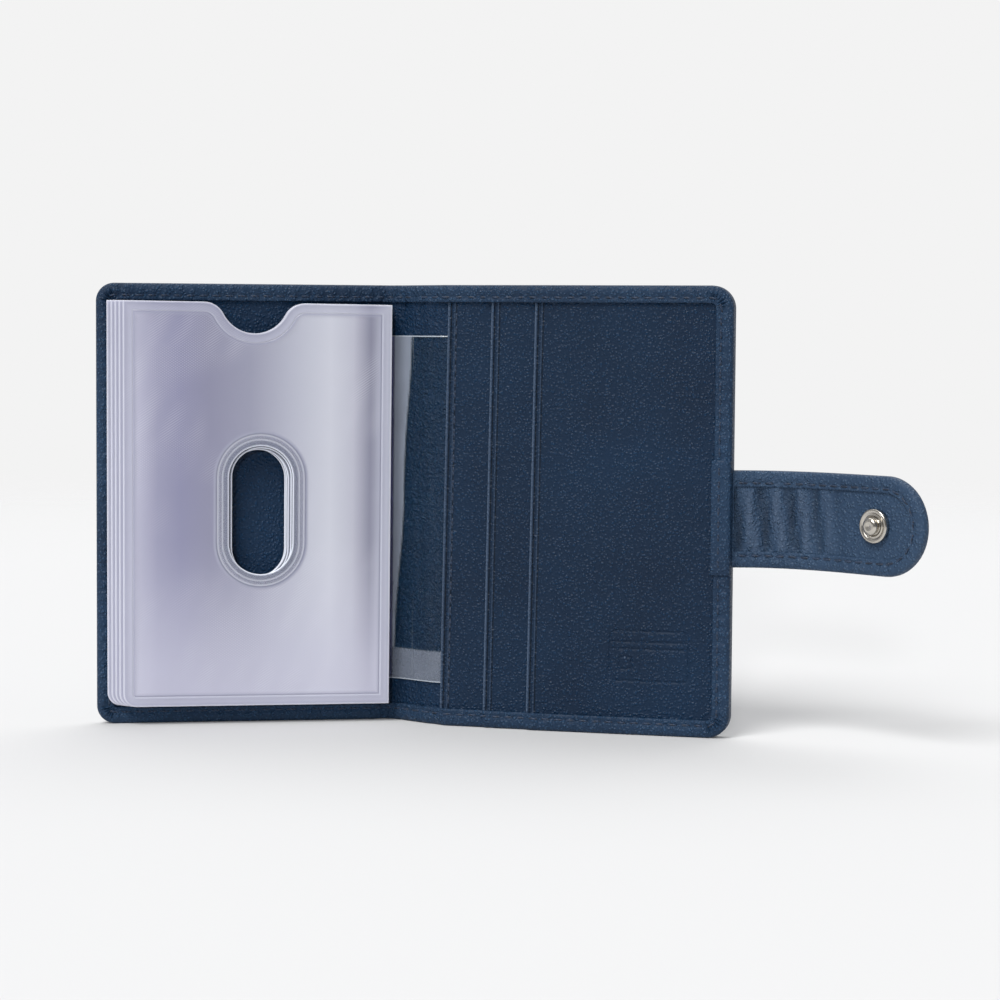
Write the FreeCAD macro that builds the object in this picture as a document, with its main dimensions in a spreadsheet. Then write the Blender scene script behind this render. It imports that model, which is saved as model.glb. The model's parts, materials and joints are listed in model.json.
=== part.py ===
import FreeCAD, Part
import Sketcher
import math
import os
import re

# A leather card wallet that stands open on its bottom edges: two covers joined by a narrow spine, a welded
# sleeve insert on the left cover, three upright card pockets on the right one and a strap with a snap.
#
# Each panel is drawn in its own frame: X runs along the panel to the right, Y points out of its outside
# face, Z is up, and the crease it turns on is the line X = Y = 0. "Level" is the height above the inside
# face of the outer hide, so level = -Y, and the outer hide lies between level -hide and level 0.

SIZES = [
    # covers and spine
    ("cover_height", 102.0),
    ("panel_width", 69.0),
    ("spine_width", 14.5),
    ("hide", 1.2),              # outer leather
    ("turned_wall", 0.9),       # the same hide, thinned where it is turned round the edge
    ("turned_lip", 0.8),        # and where it lies on the inside
    ("border", 4.0),            # how far the turned hide reaches in from the edge
    ("corner_left", 4.2),
    ("corner_right", 5.2),
    ("layer_slack", 0.1),       # an inner layer inside the turned wall
    ("crease_gap", 0.2),        # outer hide to the crease line, at the crease that opens flat
    ("crease_gap_back", 0.55),  # and at the crease that bends past flat
    ("crease_setback", 1.8),    # inner layers to the crease line, so that the fold can close square
    ("spine_lip_setback", 0.1), # the spine's turned hide, back from its cut edge at the left crease
    # layers under the lining
    ("board", 0.5),
    ("shield", 0.1),
    ("lining", 0.65),
    ("spine_lining", 0.6),
    # card pockets on the right cover
    ("pocket_hide", 0.6),
    ("pocket_gap", 0.05),
    ("pocket_mouth_gap", 0.3),  # first mouth, from the edge of the layers under it
    ("pocket_step", 10.4),      # from one mouth to the next
    # sleeve insert
    ("sheet", 0.25),            # clear sheet that carries the leaves
    ("sheet_gap", 0.05),
    ("flap_low", 9.8),
    ("flap_high_gap", 11.7),    # flap's top edge to the cover's
    ("tongue_reach", 42.0),
    ("leaf_film", 0.3),
    ("leaf_gap", 0.2),          # one leaf to the next
    ("leaf_clear", 0.3),        # lowest leaf above the turned border
    ("leaf_setback", 1.4),      # leaves to the crease line
    ("leaf_fore_gap", 2.4),     # lowest leaf's fore-edge to the cover's
    ("leaf_step", 0.9),         # each leaf is this much narrower than the one below
    ("leaf_low", 4.4),
    ("leaf_high_gap", 4.2),     # leaves' top edge to the cover's
    ("leaf_corner", 3.0),
    ("slot_from_crease", 31.5),
    ("slot_drop", 2.3),         # slot's middle below the leaf's
    ("slot_wide", 13.5),
    ("slot_tall", 29.8),
    ("notch_from_crease", 32.6),
    ("notch_radius", 8.0),
    ("notch_depth", 7.1),
    ("notch_shoulder", 5.0),
    # seams
    ("stitch_inset", 2.8),
    ("stitch_pitch", 2.95),
    ("stitch_length", 2.1),
    ("stitch_wide", 0.45),
    ("stitch_proud", 0.15),
    ("seam_end_gap", 1.26),     # last stitch's middle to the step it stops at
    ("pocket_seam_inset", 1.4), # from the first pocket's mouth
    ("strap_seam_gap", 1.47),   # first and last stitch's middle to the strap's bend
    # strap
    ("strap_width", 22.0),
    ("strap_reach", 50.5),      # from the cover's edge to the tip
    ("strap_drop", 1.0),        # its centre line below the middle of the cover
    ("strap_hide", 1.0),
    ("strap_core", 0.4),
    ("strap_lining", 0.5),
    ("strap_lip", 0.5),
    ("strap_border", 3.75),
    ("strap_edge_gap", 0.6),    # cover's edge to the first bend line
    ("strap_root_gap", 0.85),   # strap to the first bend line
    ("strap_mid_gap", 0.4),     # strap to the second bend line, on each side
    ("tab_width", 4.5),         # patch that closes the turned border over the strap's end
    ("tab_margin", 2.0),        # tab beyond the strap, above and below
    ("tab_thick", 0.4),
    # snap
    ("stud_from_edge", 35.7),
    ("stud_flange_radius", 3.8),
    ("stud_flange", 0.8),
    ("stud_bevel_wide", 0.4),
    ("stud_bevel_deep", 0.2),
    ("stud_rim_wide", 0.6),     # flat ring inside the bevel
    ("stud_dish_wide", 0.3),    # slope from the ring down to the dish round the ball
    ("stud_dish_deep", 0.32),
    ("stud_neck_radius", 1.5),
    ("stud_ball_radius", 1.95),
    ("ball_bevel", 0.45),       # how far the ball's top draws in
    ("ball_top", 0.38),         # heights of the ball's top, band and underside
    ("ball_band", 0.475),
    ("ball_under", 0.475),
    ("ball_clear", 0.25),       # round the ball in the socket's bore
    ("face_clear", 0.2),        # flange to socket when shut
    ("floor_clear", 0.1),       # ball to the bore's floor when shut
    ("post_radius", 1.1),
    ("post_short", 0.3),        # post's end below the strap's outside face
    ("post_slack", 0.05),
    ("cap_radius", 5.5),
    ("cap_wall", 0.455),        # straight side of the cap
    ("cap_shoulder_radius", 4.73),
    ("cap_shoulder", 0.975),
    ("cap_crown_radius", 2.75),
    ("cap_tall", 1.3),
    ("cap_bore", 0.1),
    ("socket_radius", 5.0),
    ("socket_top_radius", 4.2),
    ("socket_side", 1.2),       # straight side of the socket
    ("socket_tall", 2.0),
    ("socket_floor", 0.2),
    ("rivet_radius", 1.5),
    ("rivet_head_radius", 3.2),
    ("rivet_head", 0.4),
    # standing pose: heading of each panel seen from above, in degrees
    ("left_heading", 9.0),
    ("spine_heading", -41.0),
    ("right_heading", -14.0),
    ("strap_heading", -17.5),
    ("tip_heading", -47.0),
    # cuts
    ("overcut", 1.0),           # how far a cut runs past an edge that it opens
    ("hair", 0.001),            # what is left straight beside a full-round end
    # the part's origin, measured from the left crease: the middle of the whole wallet's footprint
    ("origin_x", 0.0),
    ("origin_y", 0.0),
]

LEAVES = 5
TINY = 1e-4                     # least change or difference that counts, in mm or mm3

doc = FreeCAD.newDocument("card_wallet")
sheet = doc.addObject("Spreadsheet::Sheet", "sizes")
for row, (word, size) in enumerate(SIZES, start=1):
    sheet.set(f"A{row}", word)
    sheet.set(f"B{row}", str(size))
    sheet.setAlias(f"B{row}", word)
trial = doc.addObject("Spreadsheet::Sheet", "trial")
doc.recompute()

WORDS = {word for word, size in SIZES}


def bound(text):
    """The expression with every size spelled as its cell in the sheet."""
    return re.sub(r"[a-z_]+", lambda m: "sizes." + m[0] if m[0] in WORDS else m[0], text)


def number(text):
    """The expression's value now."""
    trial.set("A1", "=" + bound(text))
    trial.recompute()
    return float(trial.get("A1"))


# Levels of the layers, each standing on the one below.
SHIELD_LEVEL = "board"
SHEET_LEVEL = "(board + shield + sheet_gap)"
LINING_LEVEL = "(board + shield + sheet + 2 * sheet_gap)"
LEFT_LIP_LEVEL = f"({LINING_LEVEL} + lining)"
LEFT_TOP = f"({LEFT_LIP_LEVEL} + turned_lip)"
POCKET_LEVELS = [LINING_LEVEL]
POCKET_LEVELS.append(f"({POCKET_LEVELS[0]} + pocket_hide + pocket_gap)")
POCKET_LEVELS.append(f"({POCKET_LEVELS[1]} + pocket_hide + pocket_gap)")
FIRST_MOUTH = "(crease_setback + pocket_mouth_gap)"
POCKET_MOUTHS = [FIRST_MOUTH, f"({FIRST_MOUTH} + pocket_step)", f"({FIRST_MOUTH} + 2 * pocket_step)"]
RIGHT_LIP_LEVELS = [f"({level} + pocket_hide)" for level in POCKET_LEVELS]
SPINE_SHEET_LEVEL = "(spine_lining + 3 * sheet_gap)"
LEAF_LEVEL = f"({LEFT_TOP} + leaf_clear)"
LEAF_TOP = "(cover_height - leaf_high_gap)"
LEAF_PITCH = "(2 * leaf_film + leaf_gap)"
FLAP_TOP = "(cover_height - flap_high_gap)"
STRAP_THICK = "(strap_hide + strap_core + strap_lining + strap_lip)"
STRAP_MIDDLE = "(cover_height / 2 - strap_drop)"
STUD_TALL = "(socket_tall + face_clear - socket_floor - floor_clear)"
SNAP_ROOM = "(socket_tall + stud_flange + face_clear)"      # between strap and cover when shut
STRAP_ROOT_LENGTH = f"(spine_width + hide + {SNAP_ROOM} - ({STRAP_THICK} - hide))"
STUD_X = f"(stud_from_edge - strap_edge_gap - {STRAP_ROOT_LENGTH})"
TIP_X = f"(strap_reach - strap_edge_gap - {STRAP_ROOT_LENGTH})"
SOCKET_X = f"({STUD_X} - strap_edge_gap - panel_width)"

# Where each frame stands in plan.
LEFT_AT = ("-origin_x", "-origin_y", "left_heading")
SPINE_AT = ("-origin_x", "-origin_y", "spine_heading")
RIGHT_AT = (
    "-origin_x + spine_width * cos(spine_heading)",
    "-origin_y + spine_width * sin(spine_heading)",
    "right_heading",
)
ROOT_OUT = "(panel_width + strap_edge_gap)"
ROOT_IN = f"({STRAP_THICK} - hide)"
ROOT_AT = (
    f"{RIGHT_AT[0]} + {ROOT_OUT} * cos(right_heading) + {ROOT_IN} * sin(right_heading)",
    f"{RIGHT_AT[1]} + {ROOT_OUT} * sin(right_heading) - {ROOT_IN} * cos(right_heading)",
    "strap_heading",
)
TIP_AT = (
    f"{ROOT_AT[0]} + {STRAP_ROOT_LENGTH} * cos(strap_heading)",
    f"{ROOT_AT[1]} + {STRAP_ROOT_LENGTH} * sin(strap_heading)",
    "tip_heading",
)

subparts = []


def sub_part(label, at):
    """A new body for one piece, standing in its panel's frame."""
    body = doc.addObject("PartDesign::Body", label)
    body.Label = label
    body.AllowCompound = True
    body.Placement = FreeCAD.Placement(FreeCAD.Vector(), FreeCAD.Rotation(FreeCAD.Vector(0, 0, 1), 1))
    body.setExpression("Placement.Base.x", bound(at[0]))
    body.setExpression("Placement.Base.y", bound(at[1]))
    body.setExpression("Placement.Rotation.Angle", bound(at[2]))
    subparts.append(body)
    return body


def plane(body, role):
    return next(feature for feature in body.Origin.OriginFeatures if feature.Role == role)


def new_sketch(body, role, offset):
    """An empty sketch on one of the body's own planes, moved by three expressions in the plane's frame."""
    sketch = body.newObject("Sketcher::SketchObject", "outline")
    sketch.AttachmentSupport = [(plane(body, role), "")]
    sketch.MapMode = "FlatFace"
    for axis, text in zip("xyz", offset):
        sketch.setExpression(f"AttachmentOffset.Base.{axis}", bound(text))
    return sketch


def pin(sketch, kind, geometry, point, text):
    """Holds one coordinate of a point at a signed distance from the sketch's origin."""
    distance = number(text)
    if distance >= 0:
        index = sketch.addConstraint(Sketcher.Constraint(kind, -1, 1, geometry, point, distance))
        sketch.setExpression(f"Constraints[{index}]", bound(text))
    else:
        index = sketch.addConstraint(Sketcher.Constraint(kind, geometry, point, -1, 1, -distance))
        sketch.setExpression(f"Constraints[{index}]", bound(f"-({text})"))


def draw_box(sketch, left, right, low, high, radii=(None, None, None, None)):
    """A rectangle with its sides at four expressions. Radii round its corners: low left, low right,
    high right, high left."""
    x = [number(left), number(right), number(right), number(left)]
    y = [number(low), number(low), number(high), number(high)]
    step_in = [(1, 1), (-1, 1), (-1, -1), (1, -1)]
    turn = [number(r) if r else 0.0 for r in radii]
    vector = FreeCAD.Vector
    lines = []
    for side in range(4):
        a, b = side, (side + 1) % 4
        along = vector(x[b] - x[a], y[b] - y[a], 0).normalize()
        start = vector(x[a], y[a], 0) + along * turn[a]
        end = vector(x[b], y[b], 0) - along * turn[b]
        lines.append(sketch.addGeometry(Part.LineSegment(start, end)))
    for side in (0, 2):
        sketch.addConstraint(Sketcher.Constraint("Horizontal", lines[side]))
        sketch.addConstraint(Sketcher.Constraint("Vertical", lines[side + 1]))
    for corner in range(4):
        before, after = lines[corner - 1], lines[corner]
        if not radii[corner]:
            sketch.addConstraint(Sketcher.Constraint("Coincident", before, 2, after, 1))
            continue
        dx, dy = step_in[corner]
        middle = vector(x[corner] + dx * turn[corner], y[corner] + dy * turn[corner], 0)
        first = 180 + 90 * corner
        circle = Part.Circle(middle, vector(0, 0, 1), turn[corner])
        quarter = Part.ArcOfCircle(circle, math.radians(first), math.radians(first + 90))
        arc = sketch.addGeometry(quarter)
        sketch.addConstraint(Sketcher.Constraint("Tangent", before, 2, arc, 1))
        sketch.addConstraint(Sketcher.Constraint("Tangent", arc, 2, after, 1))
        index = sketch.addConstraint(Sketcher.Constraint("Radius", arc, turn[corner]))
        sketch.setExpression(f"Constraints[{index}]", bound(radii[corner]))
    pin(sketch, "DistanceY", lines[0], 1, low)
    pin(sketch, "DistanceX", lines[1], 1, right)
    pin(sketch, "DistanceY", lines[2], 1, high)
    pin(sketch, "DistanceX", lines[3], 1, left)


def draw_profile(sketch, points):
    """A closed polygon with each corner at two expressions."""
    spots = [FreeCAD.Vector(number(px), number(py), 0) for px, py in points]
    lines = []
    for index, spot in enumerate(spots):
        lines.append(sketch.addGeometry(Part.LineSegment(spot, spots[(index + 1) % len(spots)])))
    for index, line in enumerate(lines):
        sketch.addConstraint(Sketcher.Constraint("Coincident", lines[index - 1], 2, line, 1))
    for line, (px, py) in zip(lines, points):
        pin(sketch, "DistanceX", line, 1, px)
        pin(sketch, "DistanceY", line, 1, py)


def draw_circle(sketch, cx, cy, radius):
    spot = FreeCAD.Vector(number(cx), number(cy), 0)
    circle = sketch.addGeometry(Part.Circle(spot, FreeCAD.Vector(0, 0, 1), number(radius)))
    pin(sketch, "DistanceX", circle, 3, cx)
    pin(sketch, "DistanceY", circle, 3, cy)
    index = sketch.addConstraint(Sketcher.Constraint("Radius", circle, number(radius)))
    sketch.setExpression(f"Constraints[{index}]", bound(radius))


def pad(body, sketch, thick):
    """Adds material above the sketch's level."""
    feature = body.newObject("PartDesign::Pad", "pad")
    feature.Profile = sketch
    feature.setExpression("Length", bound(thick))
    return feature


def pocket(body, sketch, deep):
    """Takes material away below the sketch's level, and makes sure that some went."""
    doc.recompute()
    before = body.Shape.Volume
    feature = body.newObject("PartDesign::Pocket", "pocket")
    feature.Profile = sketch
    feature.setExpression("Length", bound(deep))
    feature.Reversed = False
    doc.recompute()
    if body.Shape.Volume > before - TINY:
        raise RuntimeError(f"{body.Label}: a pocket cut nothing")
    return feature


def layer(body, level, thick, box, radii=(None, None, None, None)):
    """A flat layer: its sides (left, right, low, high), standing on a level."""
    sketch = new_sketch(body, "XZ_Plane", ("0", "0", level))
    draw_box(sketch, *box, radii)
    return pad(body, sketch, thick)


def cut_layer(body, level, deep, box, radii=(None, None, None, None)):
    """Cuts a box-shaped outline down from a level."""
    sketch = new_sketch(body, "XZ_Plane", ("0", "0", level))
    draw_box(sketch, *box, radii)
    return pocket(body, sketch, deep)


def punch(body, level, deep, cx, cz, radius):
    """Punches a round hole down from a level."""
    sketch = new_sketch(body, "XZ_Plane", ("0", "0", level))
    draw_circle(sketch, cx, cz, radius)
    return pocket(body, sketch, deep)


def turn_on_axis(body, cx, cz, points):
    """Turns a profile of (radius, Y) corners about an axis that runs along Y."""
    sketch = new_sketch(body, "XY_Plane", (cx, "0", cz))
    draw_profile(sketch, points)
    feature = body.newObject("PartDesign::Revolution", "turned")
    feature.Profile = sketch
    feature.ReferenceAxis = (sketch, ["V_Axis"])
    feature.Angle = 360
    return feature


def stitch_row(body, level, first_x, first_z, run, along):
    """A row of stitches that starts at a point and covers a run, along X or along Z."""
    half_long, half_wide = "stitch_length / 2", "stitch_wide / 2"
    across, up = (half_long, half_wide) if along == "X" else (half_wide, half_long)
    sketch = new_sketch(body, "XZ_Plane", ("0", "0", level))
    box = (f"{first_x} - {across}", f"{first_x} + {across}", f"{first_z} - {up}", f"{first_z} + {up}")
    draw_box(sketch, *box)
    stitch = pad(body, sketch, "stitch_proud")
    doc.recompute()
    row = body.newObject("PartDesign::LinearPattern", "row")
    row.Originals = [stitch]
    row.Direction = (sketch, ["H_Axis" if along == "X" else "V_Axis"])
    row.setExpression("Length", bound(f"floor({run} / stitch_pitch) * stitch_pitch"))
    row.setExpression("Occurrences", bound(f"floor({run} / stitch_pitch) + 1"))
    body.Tip = row
    return row


# ---- left cover -----------------------------------------------------------------------------------------

# The hide of the left cover, turned in round the top, the fore-edge and the bottom.
LEFT_ROUND = ("corner_left", None, None, "corner_left")
outer_left = sub_part("outer_leather_left", LEFT_AT)
layer(outer_left, "-hide", "hide", ("-panel_width", "-crease_gap", "0", "cover_height"), LEFT_ROUND)
layer(outer_left, "0", LEFT_TOP, ("-panel_width", "-crease_setback", "0", "cover_height"), LEFT_ROUND)
cut_layer(
    outer_left, LEFT_LIP_LEVEL, LEFT_LIP_LEVEL,
    ("-panel_width + turned_wall", "overcut", "turned_wall", "cover_height - turned_wall"),
    ("corner_left - turned_wall", None, None, "corner_left - turned_wall"),
)
cut_layer(outer_left, LEFT_TOP, "turned_lip",
          ("-panel_width + border", "overcut", "border", "cover_height - border"))
punch(outer_left, "0", "hide", SOCKET_X, STRAP_MIDDLE, "rivet_radius + post_slack")

# What lies in the turned hide, from the outside in: board, shielding film, the insert's tongue, lining.
LEFT_LAYER = (
    "-panel_width + turned_wall + layer_slack", "-crease_setback",
    "turned_wall + layer_slack", "cover_height - turned_wall - layer_slack",
)
LEFT_LAYER_ROUND = ("corner_left - turned_wall", None, None, "corner_left - turned_wall")
board_left = sub_part("board_left", LEFT_AT)
layer(board_left, "0", "board", LEFT_LAYER, LEFT_LAYER_ROUND)
punch(board_left, "board", "board", SOCKET_X, STRAP_MIDDLE, "rivet_head_radius + post_slack")

shield_left = sub_part("shield_film_left", LEFT_AT)
layer(shield_left, SHIELD_LEVEL, "shield", LEFT_LAYER, LEFT_LAYER_ROUND)

lining_left = sub_part("lining_left", LEFT_AT)
layer(lining_left, LINING_LEVEL, "lining", LEFT_LAYER, LEFT_LAYER_ROUND)

tongue_left = sub_part("insert_tongue_left", LEFT_AT)
layer(tongue_left, SHEET_LEVEL, "sheet",
      ("-crease_setback - tongue_reach", "-crease_setback", "flap_low", FLAP_TOP))

stitches_left = sub_part("stitches_left", LEFT_AT)
ROW_RUN = "(panel_width - corner_left - stitch_inset - crease_setback)"
SIDE_RUN = "(cover_height - 2 * corner_left - 2 * stitch_inset)"
first_row_x = "(-panel_width + corner_left + stitch_inset)"
stitch_row(stitches_left, LEFT_TOP, first_row_x, "stitch_inset", ROW_RUN, "X")
stitch_row(stitches_left, LEFT_TOP, first_row_x, "(cover_height - stitch_inset)", ROW_RUN, "X")
stitch_row(stitches_left, LEFT_TOP, "(-panel_width + stitch_inset)", "(corner_left + stitch_inset)",
           SIDE_RUN, "Z")

# Female half of the snap on the outside of the left cover: a pressed socket held by a rivet whose head is
# buried in the board.
socket = sub_part("snap_socket", LEFT_AT)
turn_on_axis(socket, SOCKET_X, STRAP_MIDDLE, [
    ("rivet_radius + post_slack", "hide"),
    ("socket_radius", "hide"),
    ("socket_radius", "hide + socket_side"),
    ("socket_top_radius", "hide + socket_tall"),
    ("stud_ball_radius + ball_clear", "hide + socket_tall"),
    ("stud_ball_radius + ball_clear", "hide + socket_floor"),
    ("rivet_radius + post_slack", "hide + socket_floor"),
])
rivet = sub_part("snap_socket_rivet", LEFT_AT)
turn_on_axis(rivet, SOCKET_X, STRAP_MIDDLE, [
    ("0", "-rivet_head"),
    ("rivet_head_radius", "-rivet_head"),
    ("rivet_head_radius", "0"),
    ("rivet_radius", "0"),
    ("rivet_radius", "hide + socket_floor"),
    ("0", "hide + socket_floor"),
])

# ---- spine ----------------------------------------------------------------------------------------------

SPINE_TOP = "(spine_lining + turned_lip)"
outer_spine = sub_part("outer_leather_spine", SPINE_AT)
layer(outer_spine, "-hide", "hide", ("crease_gap", "spine_width - crease_gap_back", "0", "cover_height"))
layer(outer_spine, "0", SPINE_TOP,
      ("crease_gap + spine_lip_setback", "spine_width - crease_gap_back", "0", "cover_height"))
SPINE_CUT = ("-overcut", "spine_width + overcut")
cut_layer(outer_spine, "spine_lining", "spine_lining",
          (*SPINE_CUT, "turned_wall", "cover_height - turned_wall"))
cut_layer(outer_spine, SPINE_TOP, "turned_lip", (*SPINE_CUT, "border", "cover_height - border"))

lining_spine = sub_part("lining_spine", SPINE_AT)
layer(lining_spine, "0", "spine_lining", (
    "spine_lining + sheet", "spine_width - spine_lining - sheet",
    "turned_wall + layer_slack", "cover_height - turned_wall - layer_slack",
))

flap = sub_part("insert_flap", SPINE_AT)
layer(flap, SPINE_SHEET_LEVEL, "sheet",
      ("crease_setback", "spine_width - crease_setback", "flap_low", FLAP_TOP))

stitches_spine = sub_part("stitches_spine", SPINE_AT)
SPINE_RUN = "(spine_width - 2 * stitch_length)"
stitch_row(stitches_spine, SPINE_TOP, "stitch_length", "stitch_inset", SPINE_RUN, "X")
stitch_row(stitches_spine, SPINE_TOP, "stitch_length", "(cover_height - stitch_inset)", SPINE_RUN, "X")

# ---- right cover ----------------------------------------------------------------------------------------

# Its turned hide climbs in two steps, over the mouths of the second and third pocket.
RIGHT_ROUND = (None, "corner_right", "corner_right", None)
RIGHT_LAYER_ROUND = (None, "corner_right - turned_wall", "corner_right - turned_wall", None)
outer_right = sub_part("outer_leather_right", RIGHT_AT)
layer(outer_right, "-hide", "hide", ("crease_gap_back", "panel_width", "0", "cover_height"), RIGHT_ROUND)
STEPS = ["crease_setback", f"({POCKET_MOUTHS[1]} - layer_slack)", f"({POCKET_MOUTHS[2]} - layer_slack)"]
for start, level in zip(STEPS, RIGHT_LIP_LEVELS):
    layer(outer_right, "0", f"{level} + turned_lip", (start, "panel_width", "0", "cover_height"),
          RIGHT_ROUND)
for start, level in zip(["0", STEPS[1], STEPS[2]], RIGHT_LIP_LEVELS):
    cut_layer(outer_right, level, level,
              (start, "panel_width - turned_wall", "turned_wall", "cover_height - turned_wall"),
              RIGHT_LAYER_ROUND)
RIGHT_TOP = f"({RIGHT_LIP_LEVELS[2]} + turned_lip)"
cut_layer(outer_right, RIGHT_TOP, RIGHT_TOP,
          ("0", "panel_width - border", "border", "cover_height - border"))

RIGHT_EDGE = "panel_width - turned_wall - layer_slack"
LAYER_LOW, LAYER_HIGH = LEFT_LAYER[2], LEFT_LAYER[3]
board_right = sub_part("board_right", RIGHT_AT)
RIGHT_LAYER = ("crease_setback", RIGHT_EDGE, LAYER_LOW, LAYER_HIGH)
layer(board_right, "0", "board", RIGHT_LAYER, RIGHT_LAYER_ROUND)

shield_right = sub_part("shield_film_right", RIGHT_AT)
layer(shield_right, SHIELD_LEVEL, "shield", RIGHT_LAYER, RIGHT_LAYER_ROUND)

tongue_right = sub_part("insert_tongue_right", RIGHT_AT)
layer(tongue_right, SHEET_LEVEL, "sheet",
      ("crease_setback", "crease_setback + tongue_reach", "flap_low", FLAP_TOP))

for index, (mouth, level) in enumerate(zip(POCKET_MOUTHS, POCKET_LEVELS), start=1):
    card_pocket = sub_part(f"pocket_{index}", RIGHT_AT)
    layer(card_pocket, level, "pocket_hide", (mouth, RIGHT_EDGE, LAYER_LOW, LAYER_HIGH),
          RIGHT_LAYER_ROUND)

# Edge seam: one row along the bottom and one along the top, each on three steps, and one up the fore-edge.
stitches_right = sub_part("stitches_right", RIGHT_AT)
ends = [STEPS[1], STEPS[2], "(panel_width - corner_right - stitch_inset)"]
for start, end, level in zip(STEPS, ends, RIGHT_LIP_LEVELS):
    for row_height in ("stitch_inset", "(cover_height - stitch_inset)"):
        stitch_row(stitches_right, f"{level} + turned_lip", f"({start} + stitch_length)", row_height,
                   f"({end} - {start} - stitch_length - seam_end_gap)", "X")
TAB_TALL = "(strap_width + 2 * tab_margin)"
TAB_LOW = f"({STRAP_MIDDLE} - {TAB_TALL} / 2)"
EDGE_RUNS = (
    ("(corner_right + stitch_inset)", f"({TAB_LOW} - stitch_length)"),
    (f"({TAB_LOW} + {TAB_TALL} + stitch_length)", "(cover_height - corner_right - stitch_inset)"),
)
for low, high in EDGE_RUNS:
    stitch_row(stitches_right, RIGHT_TOP, "(panel_width - stitch_inset)", low, f"({high} - {low})", "Z")

stitches_pocket = sub_part("stitches_pocket", RIGHT_AT)
stitch_row(stitches_pocket, RIGHT_LIP_LEVELS[0], f"({FIRST_MOUTH} + pocket_seam_inset)",
           "(border + stitch_length)", "(cover_height - 2 * border - 2 * stitch_length)", "Z")

tab = sub_part("strap_tab", RIGHT_AT)
layer(tab, RIGHT_TOP, "tab_thick",
      ("panel_width - tab_width", "panel_width", TAB_LOW, f"{TAB_LOW} + {TAB_TALL}"))
stitches_tab = sub_part("stitches_tab", RIGHT_AT)
stitch_row(stitches_tab, f"({RIGHT_TOP} + tab_thick)", "(panel_width - stitch_inset)",
           f"({TAB_LOW} + stitch_length)", f"({TAB_TALL} - 2 * stitch_length)", "Z")

# ---- strap ----------------------------------------------------------------------------------------------

# In the strap's frames Y = 0 is its inside face. The hide is turned in along both long edges and round the
# tip; core and lining lie in it. The strap bends on two lines, so each layer is made in two lengths.
ROOT_SPAN = ("strap_root_gap", f"{STRAP_ROOT_LENGTH} - strap_mid_gap")
TIP_SPAN = ("strap_mid_gap", TIP_X)
STRAP_LOW, STRAP_HIGH = f"({STRAP_MIDDLE} - strap_width / 2)", f"({STRAP_MIDDLE} + strap_width / 2)"
TIP_ROUND = "strap_width / 2 - hair"


def strap_piece(name, span, level, thick, inset, at, rounded, hole):
    """One layer of the strap: how far it is set in from the edge, its far end round or straight."""
    piece = sub_part(name, at)
    far = f"{span[1]} - {inset}" if rounded else span[1]
    radii = (None, f"{TIP_ROUND} - {inset}", f"{TIP_ROUND} - {inset}", None) if rounded else (None,) * 4
    layer(piece, level, thick, (span[0], far, f"{STRAP_LOW} + {inset}", f"{STRAP_HIGH} - {inset}"), radii)
    if hole:
        punch(piece, f"{level} + {thick}", thick, STUD_X, STRAP_MIDDLE, "post_radius + post_slack")
    return piece


def strap_hide(name, span, at, rounded):
    """The strap's hide with its turned edge."""
    piece = strap_piece(name, span, f"-{STRAP_THICK}", STRAP_THICK, "0", at, rounded, False)
    core_low, core_high = f"{STRAP_LOW} + turned_wall", f"{STRAP_HIGH} - turned_wall"
    open_low, open_high = f"{STRAP_LOW} + strap_border", f"{STRAP_HIGH} - strap_border"
    core_round = open_round = (None,) * 4
    core_far = open_far = f"{span[1]} + overcut"
    if rounded:
        core_far, open_far = f"{span[1]} - turned_wall", f"{span[1]} - strap_border"
        core_round = (None, f"{TIP_ROUND} - turned_wall", f"{TIP_ROUND} - turned_wall", None)
        open_round = (None, f"{TIP_ROUND} - strap_border", f"{TIP_ROUND} - strap_border", None)
    cut_layer(piece, "-strap_lip", "strap_core + strap_lining",
              ("-overcut", core_far, core_low, core_high), core_round)
    cut_layer(piece, "0", "strap_lip", ("-overcut", open_far, open_low, open_high), open_round)
    if rounded:
        punch(piece, "-strap_lip - strap_core - strap_lining", "strap_hide", STUD_X, STRAP_MIDDLE,
              "post_radius + post_slack")


CORE_INSET = "(turned_wall + layer_slack)"
CORE_LEVEL = "(-strap_lip - strap_lining - strap_core)"
for part_name, span, at, is_tip in (("root", ROOT_SPAN, ROOT_AT, False), ("tip", TIP_SPAN, TIP_AT, True)):
    strap_hide(f"strap_leather_{part_name}", span, at, is_tip)
    strap_piece(f"strap_core_{part_name}", span, CORE_LEVEL, "strap_core", CORE_INSET, at, is_tip, is_tip)
    strap_piece(f"strap_lining_{part_name}", span, "(-strap_lip - strap_lining)", "strap_lining",
                CORE_INSET, at, is_tip, is_tip)
    seam = sub_part(f"stitches_strap_{part_name}", at)
    straight_end = f"{TIP_X} - strap_width / 2" if is_tip else span[1]
    for seam_height in (f"({STRAP_LOW} + stitch_inset)", f"({STRAP_HIGH} - stitch_inset)"):
        stitch_row(seam, "0", f"({span[0]} + strap_seam_gap)", seam_height,
                   f"({straight_end} - {span[0]} - 2 * strap_seam_gap)", "X")

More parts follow.
